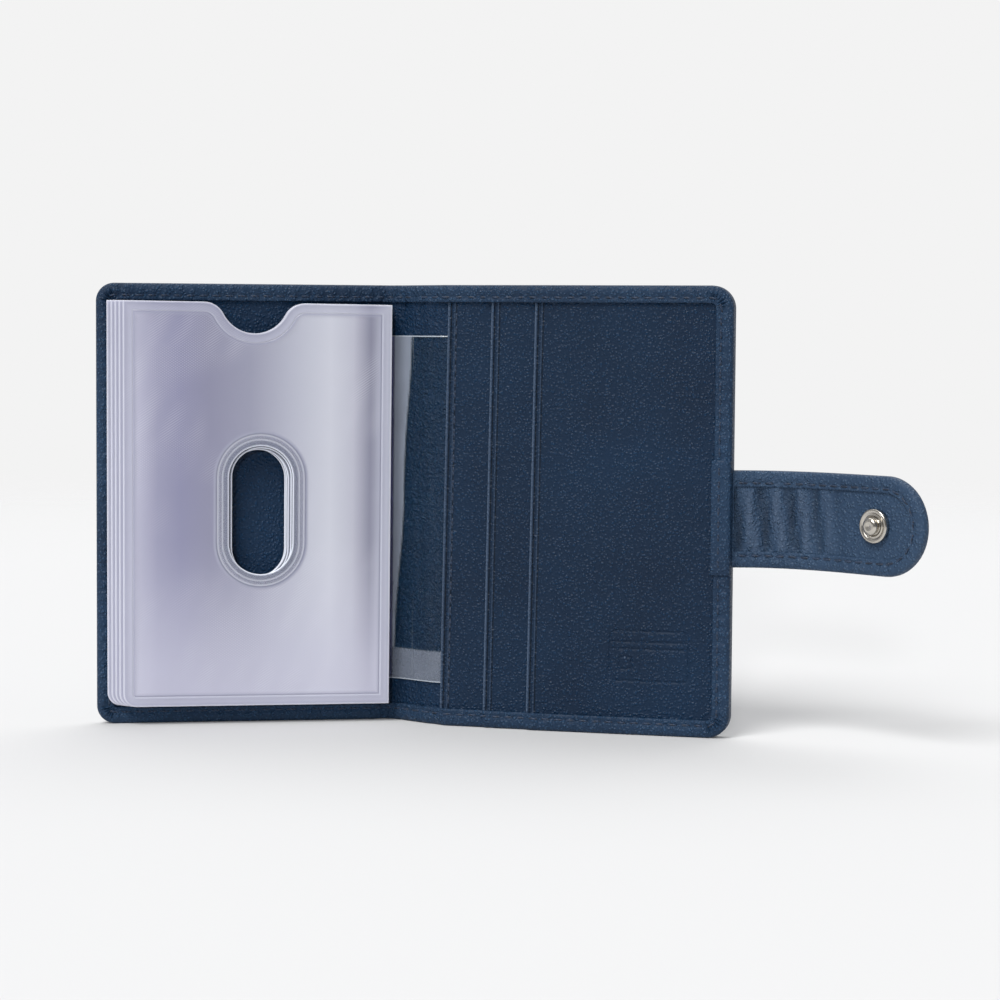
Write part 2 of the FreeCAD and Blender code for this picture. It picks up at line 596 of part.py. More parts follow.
# Male half of the snap: a flange with a ball on the inside, its post through the strap, and the cap that is
# pressed on to the post outside. The flange stands on the lining, inside the turned border.
STUD_BASE = "strap_lip"
stud = sub_part("snap_stud", TIP_AT)
STUD_TIP = f"-stud_flange - {STUD_TALL}"
RING_RADIUS = "stud_flange_radius - stud_bevel_wide"
turn_on_axis(stud, STUD_X, STRAP_MIDDLE, [
    ("0", f"{STRAP_THICK} - post_short"),
    ("post_radius", f"{STRAP_THICK} - post_short"),
    ("post_radius", STUD_BASE),
    ("stud_flange_radius", STUD_BASE),
    ("stud_flange_radius", "-stud_flange + stud_bevel_deep"),
    (RING_RADIUS, "-stud_flange"),
    (f"{RING_RADIUS} - stud_rim_wide", "-stud_flange"),
    (f"{RING_RADIUS} - stud_rim_wide - stud_dish_wide", "-stud_flange + stud_dish_deep"),
    ("stud_neck_radius", "-stud_flange + stud_dish_deep"),
    ("stud_neck_radius", f"{STUD_TIP} + ball_top + ball_band + ball_under"),
    ("stud_ball_radius", f"{STUD_TIP} + ball_top + ball_band"),
    ("stud_ball_radius", f"{STUD_TIP} + ball_top"),
    ("stud_ball_radius - ball_bevel", STUD_TIP),
    ("0", STUD_TIP),
])
cap = sub_part("snap_cap", TIP_AT)
turn_on_axis(cap, STUD_X, STRAP_MIDDLE, [
    ("post_radius + post_slack", STRAP_THICK),
    ("cap_radius", STRAP_THICK),
    ("cap_radius", f"{STRAP_THICK} + cap_wall"),
    ("cap_shoulder_radius", f"{STRAP_THICK} + cap_shoulder"),
    ("cap_crown_radius", f"{STRAP_THICK} + cap_tall"),
    ("0", f"{STRAP_THICK} + cap_tall"),
    ("0", f"{STRAP_THICK} + cap_bore"),
    ("post_radius + post_slack", f"{STRAP_THICK} + cap_bore"),
])

# ---- sleeve leaves --------------------------------------------------------------------------------------

# Each leaf is two films with a thumb notch in the top edge and an oval slot to push the card out. Leaf 1 is
# on top, and each leaf is a little larger than the one above it.
SLOT_MIDDLE = f"((leaf_low + {LEAF_TOP}) / 2 - slot_drop)"
SLOT = (
    "-slot_from_crease - slot_wide / 2", "-slot_from_crease + slot_wide / 2",
    f"{SLOT_MIDDLE} - slot_tall / 2", f"{SLOT_MIDDLE} + slot_tall / 2",
)
SLOT_ROUND = ("slot_wide / 2 - hair",) * 4
NOTCH_CENTRE = f"{LEAF_TOP} - notch_depth + notch_radius"


def notch_corners(film, notch):
    """The two upright edges where the notch meets the leaf's top edge."""
    found = []
    for place, edge in enumerate(notch.Shape.Edges, start=1):
        ends_at = [vertex.Point for vertex in edge.Vertexes]
        if len(ends_at) != 2 or abs(ends_at[0].y - ends_at[1].y) < number("leaf_film") / 2:
            continue
        beside = abs(ends_at[0].x + number("notch_from_crease")) < number("notch_radius") + TINY
        if beside and abs(ends_at[0].z - number(LEAF_TOP)) < TINY:
            found.append(f"Edge{place}")
    if len(found) != 2:
        raise RuntimeError(f"{film.Label}: the notch has {len(found)} corners")
    return found


for leaf in range(1, LEAVES + 1):
    below = LEAVES - leaf
    fore_edge = f"(-panel_width + leaf_fore_gap + {below} * leaf_step)"
    for side, lift in (("back", "0"), ("front", "leaf_film")):
        film = sub_part(f"leaf_{leaf}_{side}", LEFT_AT)
        level = f"({LEAF_LEVEL} + {below} * {LEAF_PITCH} + {lift})"
        face = f"{level} + leaf_film"
        layer(film, level, "leaf_film", (fore_edge, "-leaf_setback", "leaf_low", LEAF_TOP),
              ("leaf_corner", None, None, None))
        cut_layer(film, face, "leaf_film", SLOT, SLOT_ROUND)
        notch = punch(film, face, "leaf_film", "-notch_from_crease", NOTCH_CENTRE, "notch_radius")
        shoulder = film.newObject("PartDesign::Fillet", "shoulders")
        shoulder.Base = (notch, notch_corners(film, notch))
        shoulder.setExpression("Radius", bound("notch_shoulder"))

# ---- origin, checks and files ---------------------------------------------------------------------------

doc.recompute()
whole = FreeCAD.BoundBox()
for piece in subparts:
    whole.add(piece.Shape.optimalBoundingBox(False, False))
sheet.set(sheet.getCellFromAlias("origin_x"), repr(round(whole.Center.x, 4)))
sheet.set(sheet.getCellFromAlias("origin_y"), repr(round(whole.Center.y, 4)))
doc.removeObject("trial")
doc.recompute()

for thing in doc.Objects:
    if "Invalid" in thing.State or "Error" in thing.State:
        raise RuntimeError(f"{thing.Label} failed: {thing.State}")
os.makedirs("parts", exist_ok=True)
for piece in subparts:
    shape = piece.Shape
    if shape.isNull() or not shape.isValid() or shape.Volume <= 0:
        raise RuntimeError(f"{piece.Label} has no valid shape")
    shape.exportStep(f"parts/{piece.Label}.step")
print(len(subparts), "sub-parts")
for name in ("outer_leather_left", "outer_leather_right", "strap_leather_root", "strap_leather_tip"):
    spot = doc.getObject(name).Placement.Base
    print(name, "turns at", round(spot.x, 4), round(spot.y, 4))
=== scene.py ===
import json
import math

import bmesh
import bpy
import numpy as np
from mathutils import Matrix, Vector
from mathutils.geometry import delaunay_2d_cdt


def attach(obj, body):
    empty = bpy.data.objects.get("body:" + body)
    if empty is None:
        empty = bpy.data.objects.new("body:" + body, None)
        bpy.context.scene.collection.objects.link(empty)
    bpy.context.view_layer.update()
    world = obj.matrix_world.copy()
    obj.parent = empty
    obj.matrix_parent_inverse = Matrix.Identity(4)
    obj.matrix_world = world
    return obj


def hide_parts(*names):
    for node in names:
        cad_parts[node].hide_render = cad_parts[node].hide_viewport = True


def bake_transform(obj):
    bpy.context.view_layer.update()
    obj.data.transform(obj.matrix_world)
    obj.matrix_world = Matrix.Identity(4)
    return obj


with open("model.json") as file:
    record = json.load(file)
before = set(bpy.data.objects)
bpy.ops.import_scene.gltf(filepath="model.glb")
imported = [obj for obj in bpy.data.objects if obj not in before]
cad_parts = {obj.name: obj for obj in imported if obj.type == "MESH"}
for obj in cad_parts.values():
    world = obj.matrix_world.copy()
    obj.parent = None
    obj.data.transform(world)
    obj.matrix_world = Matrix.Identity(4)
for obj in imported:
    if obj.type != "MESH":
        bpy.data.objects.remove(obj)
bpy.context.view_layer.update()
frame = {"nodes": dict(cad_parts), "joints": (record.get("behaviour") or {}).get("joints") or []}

joint_at = {joint["name"]: Vector(joint["pos_m"]) for joint in frame["joints"]}

# ---- studio ---------------------------------------------------------------------------------------------
# The wallet stands on a white table top under a large softbox on the left, with a second one behind it and a
# small lamp low in front. The camera stands a little above its middle, with a long lens.

SENSOR_MM = 36.0
LENS_MM = 93.58
CAMERA_BACK = 0.58316          # in front of the wallet's middle line
CAMERA_HEIGHT = 0.0910
CAMERA_PITCH = math.radians(-3.67)
CAMERA_ROLL = math.radians(0.393)

camera_data = bpy.data.cameras.new("camera")
camera_data.sensor_width = SENSOR_MM
camera_data.lens = LENS_MM
camera_data.clip_start = 0.01
camera = bpy.data.objects.new("camera", camera_data)
bpy.context.scene.collection.objects.link(camera)
tilt = Matrix.Rotation(math.pi / 2 + CAMERA_PITCH, 4, "X") @ Matrix.Rotation(CAMERA_ROLL, 4, "Z")
camera.matrix_world = Matrix.Translation((0.0, -CAMERA_BACK, CAMERA_HEIGHT)) @ tilt
bpy.context.scene.camera = camera
bpy.context.scene.view_settings.view_transform = "Standard"


def colour(hex_code, alpha=1.0):
    """An sRGB hex colour as linear RGBA."""
    channels = [int(hex_code[i:i + 2], 16) / 255 for i in (1, 3, 5)]
    return tuple(c / 12.92 if c <= 0.04045 else ((c + 0.055) / 1.055) ** 2.4 for c in channels) + (alpha,)


def add(tree, kind, links=None, stops=(), **settings):
    """Adds a node. Each of its inputs is linked when given a socket, and set when given a value. stops are a
    colour ramp's positions and hex colours."""
    node = tree.nodes.new(kind)
    for word, value in settings.items():
        setattr(node, word, value)
    for socket, value in (links or {}).items():
        if isinstance(value, bpy.types.NodeSocket):
            tree.links.new(value, node.inputs[socket])
        else:
            node.inputs[socket].default_value = value
    if stops:
        while len(node.color_ramp.elements) < len(stops):
            node.color_ramp.elements.new(0.5)
        for element, (position, hex_code) in zip(node.color_ramp.elements, stops):
            element.position = position
            element.color = colour(hex_code)
    return node


def new_material(name):
    """An empty material and its node tree."""
    material = bpy.data.materials.new(name)
    material.use_nodes = True
    material.node_tree.nodes.clear()
    return material, material.node_tree


def far_lamp(name, way, spread, strength, gloss=True):
    """A large far lamp. way points from the wallet to it, and spread is its size in degrees."""
    data = bpy.data.lights.new(name, "SUN")
    data.angle = math.radians(spread)
    data.energy = strength
    light = bpy.data.objects.new(name, data)
    bpy.context.scene.collection.objects.link(light)
    light.rotation_mode = "QUATERNION"
    light.rotation_quaternion = (-Vector(way)).to_track_quat("-Z", "Y")
    light.visible_glossy = gloss
    return light


far_lamp("softbox_above_left", (-0.40, -0.60, 0.88), 30, 2.6)
far_lamp("softbox_behind", (0.05, 0.55, 1.0), 50, 1.1)
far_lamp("low_front_lamp", (-0.13, -1.0, 0.235), 5, 1.1, gloss=False)

# Room: pale where the camera looks, and for the light a bright wall behind and above and a dim room in front.
BACKDROP = "#f3f3f3"
ROOM_BACK = 0.72
ROOM_FRONT = 0.14
world = bpy.data.worlds.new("room")
world.use_nodes = True
world.node_tree.nodes.clear()
room = world.node_tree
direction = add(room, "ShaderNodeTexCoord").outputs["Generated"]
sides = add(room, "ShaderNodeSeparateXYZ", {"Vector": direction})
depth = add(room, "ShaderNodeMapRange", {"Value": sides.outputs["Y"], "From Min": -0.7, "From Max": 0.7,
                                         "To Min": ROOM_FRONT, "To Max": ROOM_BACK})
lighting = add(room, "ShaderNodeBackground", {"Color": colour("#fbfcff"), "Strength": depth.outputs[0]})
seen = add(room, "ShaderNodeBackground", {"Color": colour(BACKDROP), "Strength": 1.0})
path = add(room, "ShaderNodeLightPath")
either = add(room, "ShaderNodeMixShader", {0: path.outputs["Is Camera Ray"], 1: lighting.outputs[0],
                                           2: seen.outputs[0]})
add(room, "ShaderNodeOutputWorld", {"Surface": either.outputs[0]})
bpy.context.scene.world = world

# White table top. It glows a little, so that it comes out as pale as the backdrop, and is clear far away, so
# that it has no edge against it.
FLOOR_REACH = 2.0
FLOOR_CLEAR_FROM = 0.45
FLOOR_CLEAR_TO = 1.1
FLOOR_GLOW = 0.04
floor_material, floor_tree = new_material("white_table_top")
here = add(floor_tree, "ShaderNodeTexCoord").outputs["Object"]
far = add(floor_tree, "ShaderNodeVectorMath", {0: here}, operation="LENGTH")
fade = add(floor_tree, "ShaderNodeMapRange", {"Value": far.outputs["Value"], "From Min": FLOOR_CLEAR_FROM,
                                              "From Max": FLOOR_CLEAR_TO}, interpolation_type="SMOOTHSTEP")
paint = add(floor_tree, "ShaderNodeBsdfDiffuse", {"Color": colour("#cecece")})
glow = add(floor_tree, "ShaderNodeEmission", {"Color": colour("#ffffff"), "Strength": FLOOR_GLOW})
lit = add(floor_tree, "ShaderNodeAddShader", {0: paint.outputs[0], 1: glow.outputs[0]})
none = add(floor_tree, "ShaderNodeBsdfTransparent")
top = add(floor_tree, "ShaderNodeMixShader", {0: fade.outputs[0], 1: lit.outputs[0], 2: none.outputs[0]})
add(floor_tree, "ShaderNodeOutputMaterial", {"Surface": top.outputs[0]})
floor_mesh = bpy.data.meshes.new("table_top")
floor_mesh.from_pydata([(-FLOOR_REACH, -FLOOR_REACH, 0), (FLOOR_REACH, -FLOOR_REACH, 0),
                        (FLOOR_REACH, FLOOR_REACH, 0), (-FLOOR_REACH, FLOOR_REACH, 0)], [], [(0, 1, 2, 3)])
floor_mesh.materials.append(floor_material)
floor = bpy.data.objects.new("table_top", floor_mesh)
bpy.context.scene.collection.objects.link(floor)

# ---- hide of the covers ---------------------------------------------------------------------------------
# One piece of soft navy cowhide, 1.2 mm thick, goes round the whole wallet. Its edge is skived thinner,
# turned in over the lining all round and stitched down. It is made here as two skins that meet along the
# spine's middle, because each bends at one crease.

MM = 0.001
HEIGHT = 102.0
PANEL = 69.0
SPINE = 14.5
MID_SPINE = SPINE / 2
SPREAD = SPINE + PANEL         # right fore-edge, measured along the opened wallet from the left crease
LEFT_HEADING, SPINE_HEADING, RIGHT_HEADING = 9.0, -41.0, -14.0
FOLD_LEFT, FOLD_RIGHT = 6.0, 5.0       # how far each fold's curve reaches to each side of its crease
HIDE = 1.2
BORDER = 4.0
TURNED = 0.8                   # thickness of the turned edge
LIP_LEFT, LIP_SPINE, LIP_RIGHT = 2.4, 1.4, 2.35
POCKET_STEP_UP = 0.65
MOUTHS = [SPINE + 2.1, SPINE + 12.5, SPINE + 22.9]
CORNER_LEFT, CORNER_RIGHT = 4.2, 5.2
HAIR = 0.04                    # radius left where an inset has used up a rounded corner
SEAM_INSET = 2.8
SEAM_PITCH = 2.95


def ease(start, end, value):
    """0 before start, 1 after end, and smooth between them."""
    share = np.clip((np.asarray(value, float) - start) / (end - start), 0, 1)
    return share * share * (3 - 2 * share)


def heading_of(x):
    turn_left = ease(-FOLD_LEFT, FOLD_LEFT, x) * (SPINE_HEADING - LEFT_HEADING)
    turn_right = ease(SPINE - FOLD_RIGHT, SPINE + FOLD_RIGHT, x) * (RIGHT_HEADING - SPINE_HEADING)
    return np.radians(LEFT_HEADING + turn_left + turn_right)


# The wallet's line seen from above, stepped along from the left fore-edge. Inside a fold the steps are a
# little shorter, so that both ends of the curve meet the straight panels where the creases put them.
STEP = 0.05
line_x = np.arange(-PANEL - 5, SPREAD + 5, STEP)
line_heading = heading_of(line_x)
line_pace = np.ones_like(line_x)
for crease, half, before, after in ((0.0, FOLD_LEFT, LEFT_HEADING, SPINE_HEADING),
                                    (SPINE, FOLD_RIGHT, SPINE_HEADING, RIGHT_HEADING)):
    bent = np.abs(line_x - crease) < half
    across = np.cos(line_heading[bent] - math.radians((before + after) / 2)).sum() * STEP
    line_pace[bent] = 2 * half * math.cos(math.radians(after - before) / 2) / across
line_east = np.cumsum(np.cos(line_heading) * line_pace) * STEP
line_north = np.cumsum(np.sin(line_heading) * line_pace) * STEP
straight = FOLD_LEFT + 1
line_east -= np.interp(-straight, line_x, line_east) + straight * math.cos(math.radians(LEFT_HEADING))
line_north -= np.interp(-straight, line_x, line_north) + straight * math.sin(math.radians(LEFT_HEADING))


def on_wallet(x, z, level):
    """From (along the opened wallet, height, level above the hide's inside face) in mm to the frame."""
    heading = np.interp(x, line_x, line_heading)
    east = np.interp(x, line_x, line_east) + level * np.sin(heading)
    north = np.interp(x, line_x, line_north) - level * np.cos(heading)
    crease = joint_at["crease_left"]
    return np.stack([crease.x + east * MM, crease.y + north * MM, z * MM], -1)


def lip(x):
    """Top of the turned edge: over the left lining, down on the spine, and up over each pocket's mouth."""
    rise = LIP_LEFT + (LIP_SPINE - LIP_LEFT) * ease(-5.5, -0.5, x) + (LIP_RIGHT - LIP_SPINE) * ease(14, 17, x)
    return rise + POCKET_STEP_UP * (ease(MOUTHS[1] - 1.6, MOUTHS[1], x) + ease(MOUTHS[2] - 1.6, MOUTHS[2], x))


def edge_line(inset, box, radii, pitch, open_side=None):
    """Points round a rounded box (left, right, low, high), drawn in by an inset. Corners go low left, low
    right, high right, high left. An open side isn't drawn in, and its run is left out."""
    left, right, low, high = box
    sides = ["low", "right", "high", "left"]
    draw = {side: 0.0 if side == open_side else inset for side in sides}
    corners = [(left + draw["left"], low + draw["low"]), (right - draw["right"], low + draw["low"]),
               (right - draw["right"], high - draw["high"]), (left + draw["left"], high - draw["high"])]
    full = [right - left, high - low, right - left, high - low]
    run = [(1, 0), (0, 1), (-1, 0), (0, -1)]
    turn = [max(radius - inset, HAIR) if radius else 0.0 for radius in radii]
    parts = []
    for k in range(4):
        corner, ahead, behind = np.array(corners[k]), np.array(run[k]), np.array(run[k - 1])
        if radii[k]:
            count = max(6, int(radii[k] * math.pi / 2 / pitch * 1.5))
            angles = np.linspace(0, math.pi / 2, count + 1)[:, None]
            centre = corner - behind * turn[k] + ahead * turn[k]
            arc = centre + turn[k] * (behind * np.sin(angles) - ahead * np.cos(angles))
        else:
            arc = corner[None, :]
        after = np.array(corners[(k + 1) % 4]) - ahead * turn[(k + 1) % 4]
        count = max(2, int(full[k] / pitch))
        shares = np.linspace(0, 1, count + 1)[1:-1, None]
        side = arc[-1] + (after - arc[-1]) * shares
        parts.append((arc, side))
    if open_side is None:
        return np.concatenate([piece for pair in parts for piece in pair])
    first = (sides.index(open_side) + 1) % 4
    ordered = [parts[(first + k) % 4] for k in range(4)]
    kept = [pair if k < 3 else pair[:1] for k, pair in enumerate(ordered)]
    return np.concatenate([piece for pair in kept for piece in pair])


def within(outline, points):
    """Which points lie inside a closed outline."""
    x, y = points[:, :1], points[:, 1:]
    ax, ay = outline.T
    bx, by = np.roll(ax, -1), np.roll(ay, -1)
    rise = np.where(by == ay, 1.0, by - ay)
    crosses = ((ay > y) != (by > y)) & (x < ax + (y - ay) * (bx - ax) / rise)
    return crosses.sum(1) % 2 == 1


def lattice(box, step, fine=None):
    """A grid of points in a box, with a finer patch (left, right, low, high, step) in it."""
    left, right, low, high = box
    xs, zs = np.meshgrid(np.arange(left, right, step), np.arange(low, high, step))
    points = np.stack([xs.ravel(), zs.ravel()], -1)
    if fine is None:
        return points
    x0, x1, z0, z1, small = fine
    outside = (points[:, 0] < x0) | (points[:, 0] > x1) | (points[:, 1] < z0) | (points[:, 1] > z1)
    xs, zs = np.meshgrid(np.arange(x0, x1, small), np.arange(z0, z1, small))
    return np.concatenate([points[outside], np.stack([xs.ravel(), zs.ravel()], -1)])


def fill_field(flat, chains, inner):
    """Triangles between closed chains of vertex numbers: the first is the outline, the others are holes.
    inner lists the vertices that lie in the field."""
    numbers = [n for chain in chains for n in chain] + list(inner)
    edges, at = [], 0
    for chain in chains:
        edges += [(at + k, at + (k + 1) % len(chain)) for k in range(len(chain))]
        at += len(chain)
    made = delaunay_2d_cdt([Vector(flat[n]) for n in numbers], edges, [], 1, 1e-6)
    back = [numbers[found[0]] for found in made[3]]
    faces = np.array([[back[v] for v in face] for face in made[2]])
    middles = flat[faces].mean(1)
    keep = within(flat[np.array(chains[0])], middles)
    for chain in chains[1:]:
        keep &= ~within(flat[np.array(chain)], middles)
    return faces[keep].tolist()


def build(name, coords, faces, place, material, marks=None, smooth=True):
    """A mesh object from (x, z, level) points carried into the frame. Open ends are closed."""
    mesh = bpy.data.meshes.new(name)
    mesh.from_pydata(place(coords[:, 0], coords[:, 1], coords[:, 2]).tolist(), [], faces)
    for word, values in (marks or {}).items():
        mesh.attributes.new(word, "FLOAT", "POINT").data.foreach_set("value", np.asarray(values, np.float32))
    shape = bmesh.new()
    shape.from_mesh(mesh)
    gaps = [edge for edge in shape.edges if edge.is_boundary]
    if gaps:
        bmesh.ops.holes_fill(shape, edges=gaps, sides=0)
    bmesh.ops.recalc_face_normals(shape, faces=shape.faces)
    for face in shape.faces:
        face.smooth = smooth
    for edge in shape.edges:
        if len(edge.link_faces) == 2 and edge.calc_face_angle(0) > math.radians(62):
            edge.smooth = False
    shape.to_mesh(mesh)
    shape.free()
    mesh.materials.append(material)
    piece = bpy.data.objects.new(name, mesh)
    bpy.context.scene.collection.objects.link(piece)
    return piece


FAR = 9.0                      # distance marked where a rim is too far off to matter


def make_sheet(name, edge, steps, grid, place, material, holes=(), open_x=None, relief=None, marks=None):
    """A layer of leather or film. edge(inset) is its outline. steps are (inset, level) from the middle of
    one face, over the rim, to the middle of the other, and a level may be a function of (x, z). Each hole is
    an edge and steps of its own. relief(x, z) lifts the last face. The mesh keeps each point's distance from
    its outline and its nearest hole, for its material, and what each function of marks gives."""
    coords, faces, insets, hole_gaps = [], [], [], []

    def rim(line_of, levels, closed, is_hole=False):
        chains = []
        for inset, level in levels:
            line = line_of(inset)
            rise = level(line[:, 0], line[:, 1]) if callable(level) else np.full(len(line), float(level))
            first = len(coords)
            coords.extend(np.column_stack([line, rise]).tolist())
            insets.extend([FAR if is_hole else inset] * len(line))
            hole_gaps.extend([inset if is_hole else FAR] * len(line))
            chains.append(list(range(first, first + len(line))))
        for one, other in zip(chains, chains[1:]):
            for k in range(len(one) if closed else len(one) - 1):
                n = (k + 1) % len(one)
                faces.append((one[k], one[n], other[n], other[k]))
        return chains[0], chains[-1]

    outer = rim(edge, steps, open_x is None)
    inner = [rim(hole_edge, hole_steps, True, True) for hole_edge, hole_steps in holes]
    gap = 0.6 * float(np.min(np.diff(np.unique(np.round(grid[:, 0], 6)))))
    for side, step in ((0, steps[0]), (1, steps[-1])):
        level = step[1]
        keep = within(edge(step[0] + gap), grid)
        if open_x is not None:
            keep &= np.abs(grid[:, 0] - open_x) > gap
        for (hole_edge, hole_steps) in holes:
            keep &= ~within(hole_edge(hole_steps[-side][0] + gap), grid)
        points = grid[keep]
        chain = list(outer[side])
        if open_x is not None:
            start, end = coords[chain[-1]][1], coords[chain[0]][1]
            count = max(2, int(abs(end - start) / 2.5))
            closing = np.linspace(start, end, count + 1)[1:-1]
            points = np.concatenate([np.column_stack([np.full(len(closing), open_x), closing]), points])
        rise = level(points[:, 0], points[:, 1]) if callable(level) else np.full(len(points), float(level))
        first = len(coords)
        coords.extend(np.column_stack([points, rise]).tolist())
        insets.extend([step[0]] * len(points))
        hole_gaps.extend([FAR] * len(points))
        numbers = list(range(first, first + len(points)))
        if open_x is not None:
            chain += numbers[:len(closing)]
            numbers = numbers[len(closing):]
        flat = np.array(coords)[:, :2]
        faces.extend(fill_field(flat, [chain] + [pair[side] for pair in inner], numbers))
        if side and relief is not None:
            for n in outer[side] + list(range(first, first + len(points))):
                coords[n][2] += float(relief(coords[n][0], coords[n][1]))
    coords = np.array(coords)
    kept = {"edge_mm": insets, "hole_mm": hole_gaps, "along_mm": coords[:, 0], "up_mm": coords[:, 1]}
    kept.update({word: rule(coords[:, 0], coords[:, 1]) for word, rule in (marks or {}).items()})
    return build(name, coords, faces, place, material, kept)


# Full-grain cowhide, dyed navy and lightly finished: a satin surface with a fine pebble grain. The colour is
# painted lighter on the crowns and darker in the furrows, a painted highlight and shade of the grain, and the
# grain is crumpled where the hide is skived and folded. Pressed folds get a painted highlight along their
# edge, and creasing lines and folds get painted shade in their bottoms and a painted highlight on their
# crests.
# The grain is drawn about twice as coarse as life, so that it shows.
GRAIN = 0.72                   # mm across one pebble of the grain
PORE = 0.33
CLOUD = 24.0                   # mm across a lighter or darker area of dye
CRUMPLE = 0.85                 # mm between the folds of crumpled grain
FURROW_DULLER = 0.2            # rougher in the furrows than on the crowns


def cowhide(name, dark, light, gloss, grain_depth, crumple, edge_highlight=0.0):
    material, tree = new_material(name)
    spot = add(tree, "ShaderNodeTexCoord").outputs["Object"]
    clouds = add(tree, "ShaderNodeTexNoise", {"Vector": spot, "Scale": 1000 / CLOUD, "Detail": 2.0})
    warp = add(tree, "ShaderNodeTexNoise", {"Vector": spot, "Scale": 1000 / (3 * GRAIN), "Detail": 2.0})
    bend = add(tree, "ShaderNodeVectorMath", {0: warp.outputs["Color"], 1: (0.0009, 0.0009, 0.0009)},
               operation="MULTIPLY")
    bent = add(tree, "ShaderNodeVectorMath", {0: spot, 1: bend.outputs[0]}, operation="ADD")
    pebbles = add(tree, "ShaderNodeTexVoronoi", {"Vector": bent.outputs[0], "Scale": 1000 / GRAIN})
    pores = add(tree, "ShaderNodeTexNoise", {"Vector": spot, "Scale": 1000 / PORE, "Detail": 2.0,
                                             "Roughness": 0.6})
    creases = add(tree, "ShaderNodeTexNoise", {"Vector": bent.outputs[0], "Scale": 1000 / CRUMPLE,
                                               "Detail": 2.0, "Distortion": 0.5})
    crown = add(tree, "ShaderNodeMapRange", {"Value": pebbles.outputs["Distance"], "From Min": 0.62,
                                             "From Max": 0.12}, interpolation_type="SMOOTHSTEP")
    speck = add(tree, "ShaderNodeMapRange", {"Value": pores.outputs["Fac"],
                                             "From Min": 0.36, "From Max": 0.66})
    # Painted highlight on the grain's crowns and painted shade in its furrows, added to the dye's random
    # clouds.
    grain_shade_and_highlight = add(tree, "ShaderNodeMath", {0: crown.outputs[0], 1: speck.outputs[0]}, operation="MULTIPLY")
    grain_shade_and_highlight = add(tree, "ShaderNodeMapRange", {"Value": grain_shade_and_highlight.outputs[0], "To Min": 0.20, "To Max": 0.72})
    drift = add(tree, "ShaderNodeMapRange", {"Value": clouds.outputs["Fac"], "From Min": 0.3, "From Max": 0.7,
                                             "To Min": -0.06, "To Max": 0.10})
    tone = add(tree, "ShaderNodeMath", {0: grain_shade_and_highlight.outputs[0], 1: drift.outputs[0]}, operation="ADD",
               use_clamp=True)
    dye_and_grain_light = add(tree, "ShaderNodeMix", {0: tone.outputs[0], 6: colour(dark), 7: colour(light)},
              data_type="RGBA")
    edge_mm = add(tree, "ShaderNodeAttribute", attribute_name="edge_mm").outputs["Fac"]
    along_mm = add(tree, "ShaderNodeAttribute", attribute_name="along_mm").outputs["Fac"]
    # Painted highlight along the leather's edge, strongest at the edge itself.
    painted_edge_highlight = add(tree, "ShaderNodeMapRange", {"Value": edge_mm, "From Min": 0.15, "From Max": 0.62,
                                              "To Min": edge_highlight, "To Max": 0.0},
                 interpolation_type="SMOOTHSTEP")
    # Painted light and shade from the pressed mark: a highlight where it is above 0, shade where it is below
    # 0.
    pressed = add(tree, "ShaderNodeAttribute", attribute_name="pressed").outputs["Fac"]
    painted_highlight = add(tree, "ShaderNodeMath", {0: painted_edge_highlight.outputs[0], 1: pressed}, operation="MAXIMUM")
    painted_shade_mask = add(tree, "ShaderNodeMapRange", {"Value": pressed, "From Min": 0.0, "From Max": -1.0})
    with_painted_shade = add(tree, "ShaderNodeMix", {0: painted_shade_mask.outputs[0], 6: dye_and_grain_light.outputs[2], 7: colour("#01060e")},
               data_type="RGBA")
    surface = add(tree, "ShaderNodeMix", {0: painted_highlight.outputs[0], 6: with_painted_shade.outputs[2], 7: colour("#4f5f75")},
                  data_type="RGBA")
    rough = add(tree, "ShaderNodeMapRange", {"Value": crown.outputs[0], "To Min": gloss + FURROW_DULLER,
                                             "To Max": gloss})
    near_spine = add(tree, "ShaderNodeMapRange", {"Value": along_mm, "From Min": 20.0, "From Max": 15.5},
                     interpolation_type="SMOOTHSTEP")
    past_cover = add(tree, "ShaderNodeMapRange", {"Value": along_mm, "From Min": -8.0, "From Max": -2.0},
                     interpolation_type="SMOOTHSTEP")
    at_spine = add(tree, "ShaderNodeMath", {0: near_spine.outputs[0], 1: past_cover.outputs[0]},
                   operation="MULTIPLY")
    folds = add(tree, "ShaderNodeMapRange", {"Value": at_spine.outputs[0], "To Min": crumple, "To Max": 0.95})
    fine = add(tree, "ShaderNodeBump", {"Height": pores.outputs["Fac"], "Strength": 0.7, "Distance": 0.00011})
    pebble = add(tree, "ShaderNodeBump", {"Height": crown.outputs[0], "Strength": 0.9,
                                          "Distance": grain_depth * MM, "Normal": fine.outputs[0]})
    folded = add(tree, "ShaderNodeBump", {"Height": creases.outputs["Fac"], "Strength": folds.outputs[0],
                                          "Distance": 0.0006, "Normal": pebble.outputs[0]})
    skin = add(tree, "ShaderNodeBsdfPrincipled", {
        "Base Color": surface.outputs[2], "Roughness": rough.outputs[0], "Normal": folded.outputs[0],
        "Specular IOR Level": 0.27, "IOR": 1.5})
    add(tree, "ShaderNodeOutputMaterial", {"Surface": skin.outputs[0]})
    return material


cover_hide = cowhide("navy_cowhide", "#0a1b30", "#345373", 0.34, 0.20, 0.26)

PUFF = 0.10                    # how far the turned edge swells between the seam and the outside edge
SEAM_DRAW = 0.14               # how far the seam draws the leather down
GATHER_RADIUS = 12.0           # what a corner's gathers are counted on, in place of its own radius


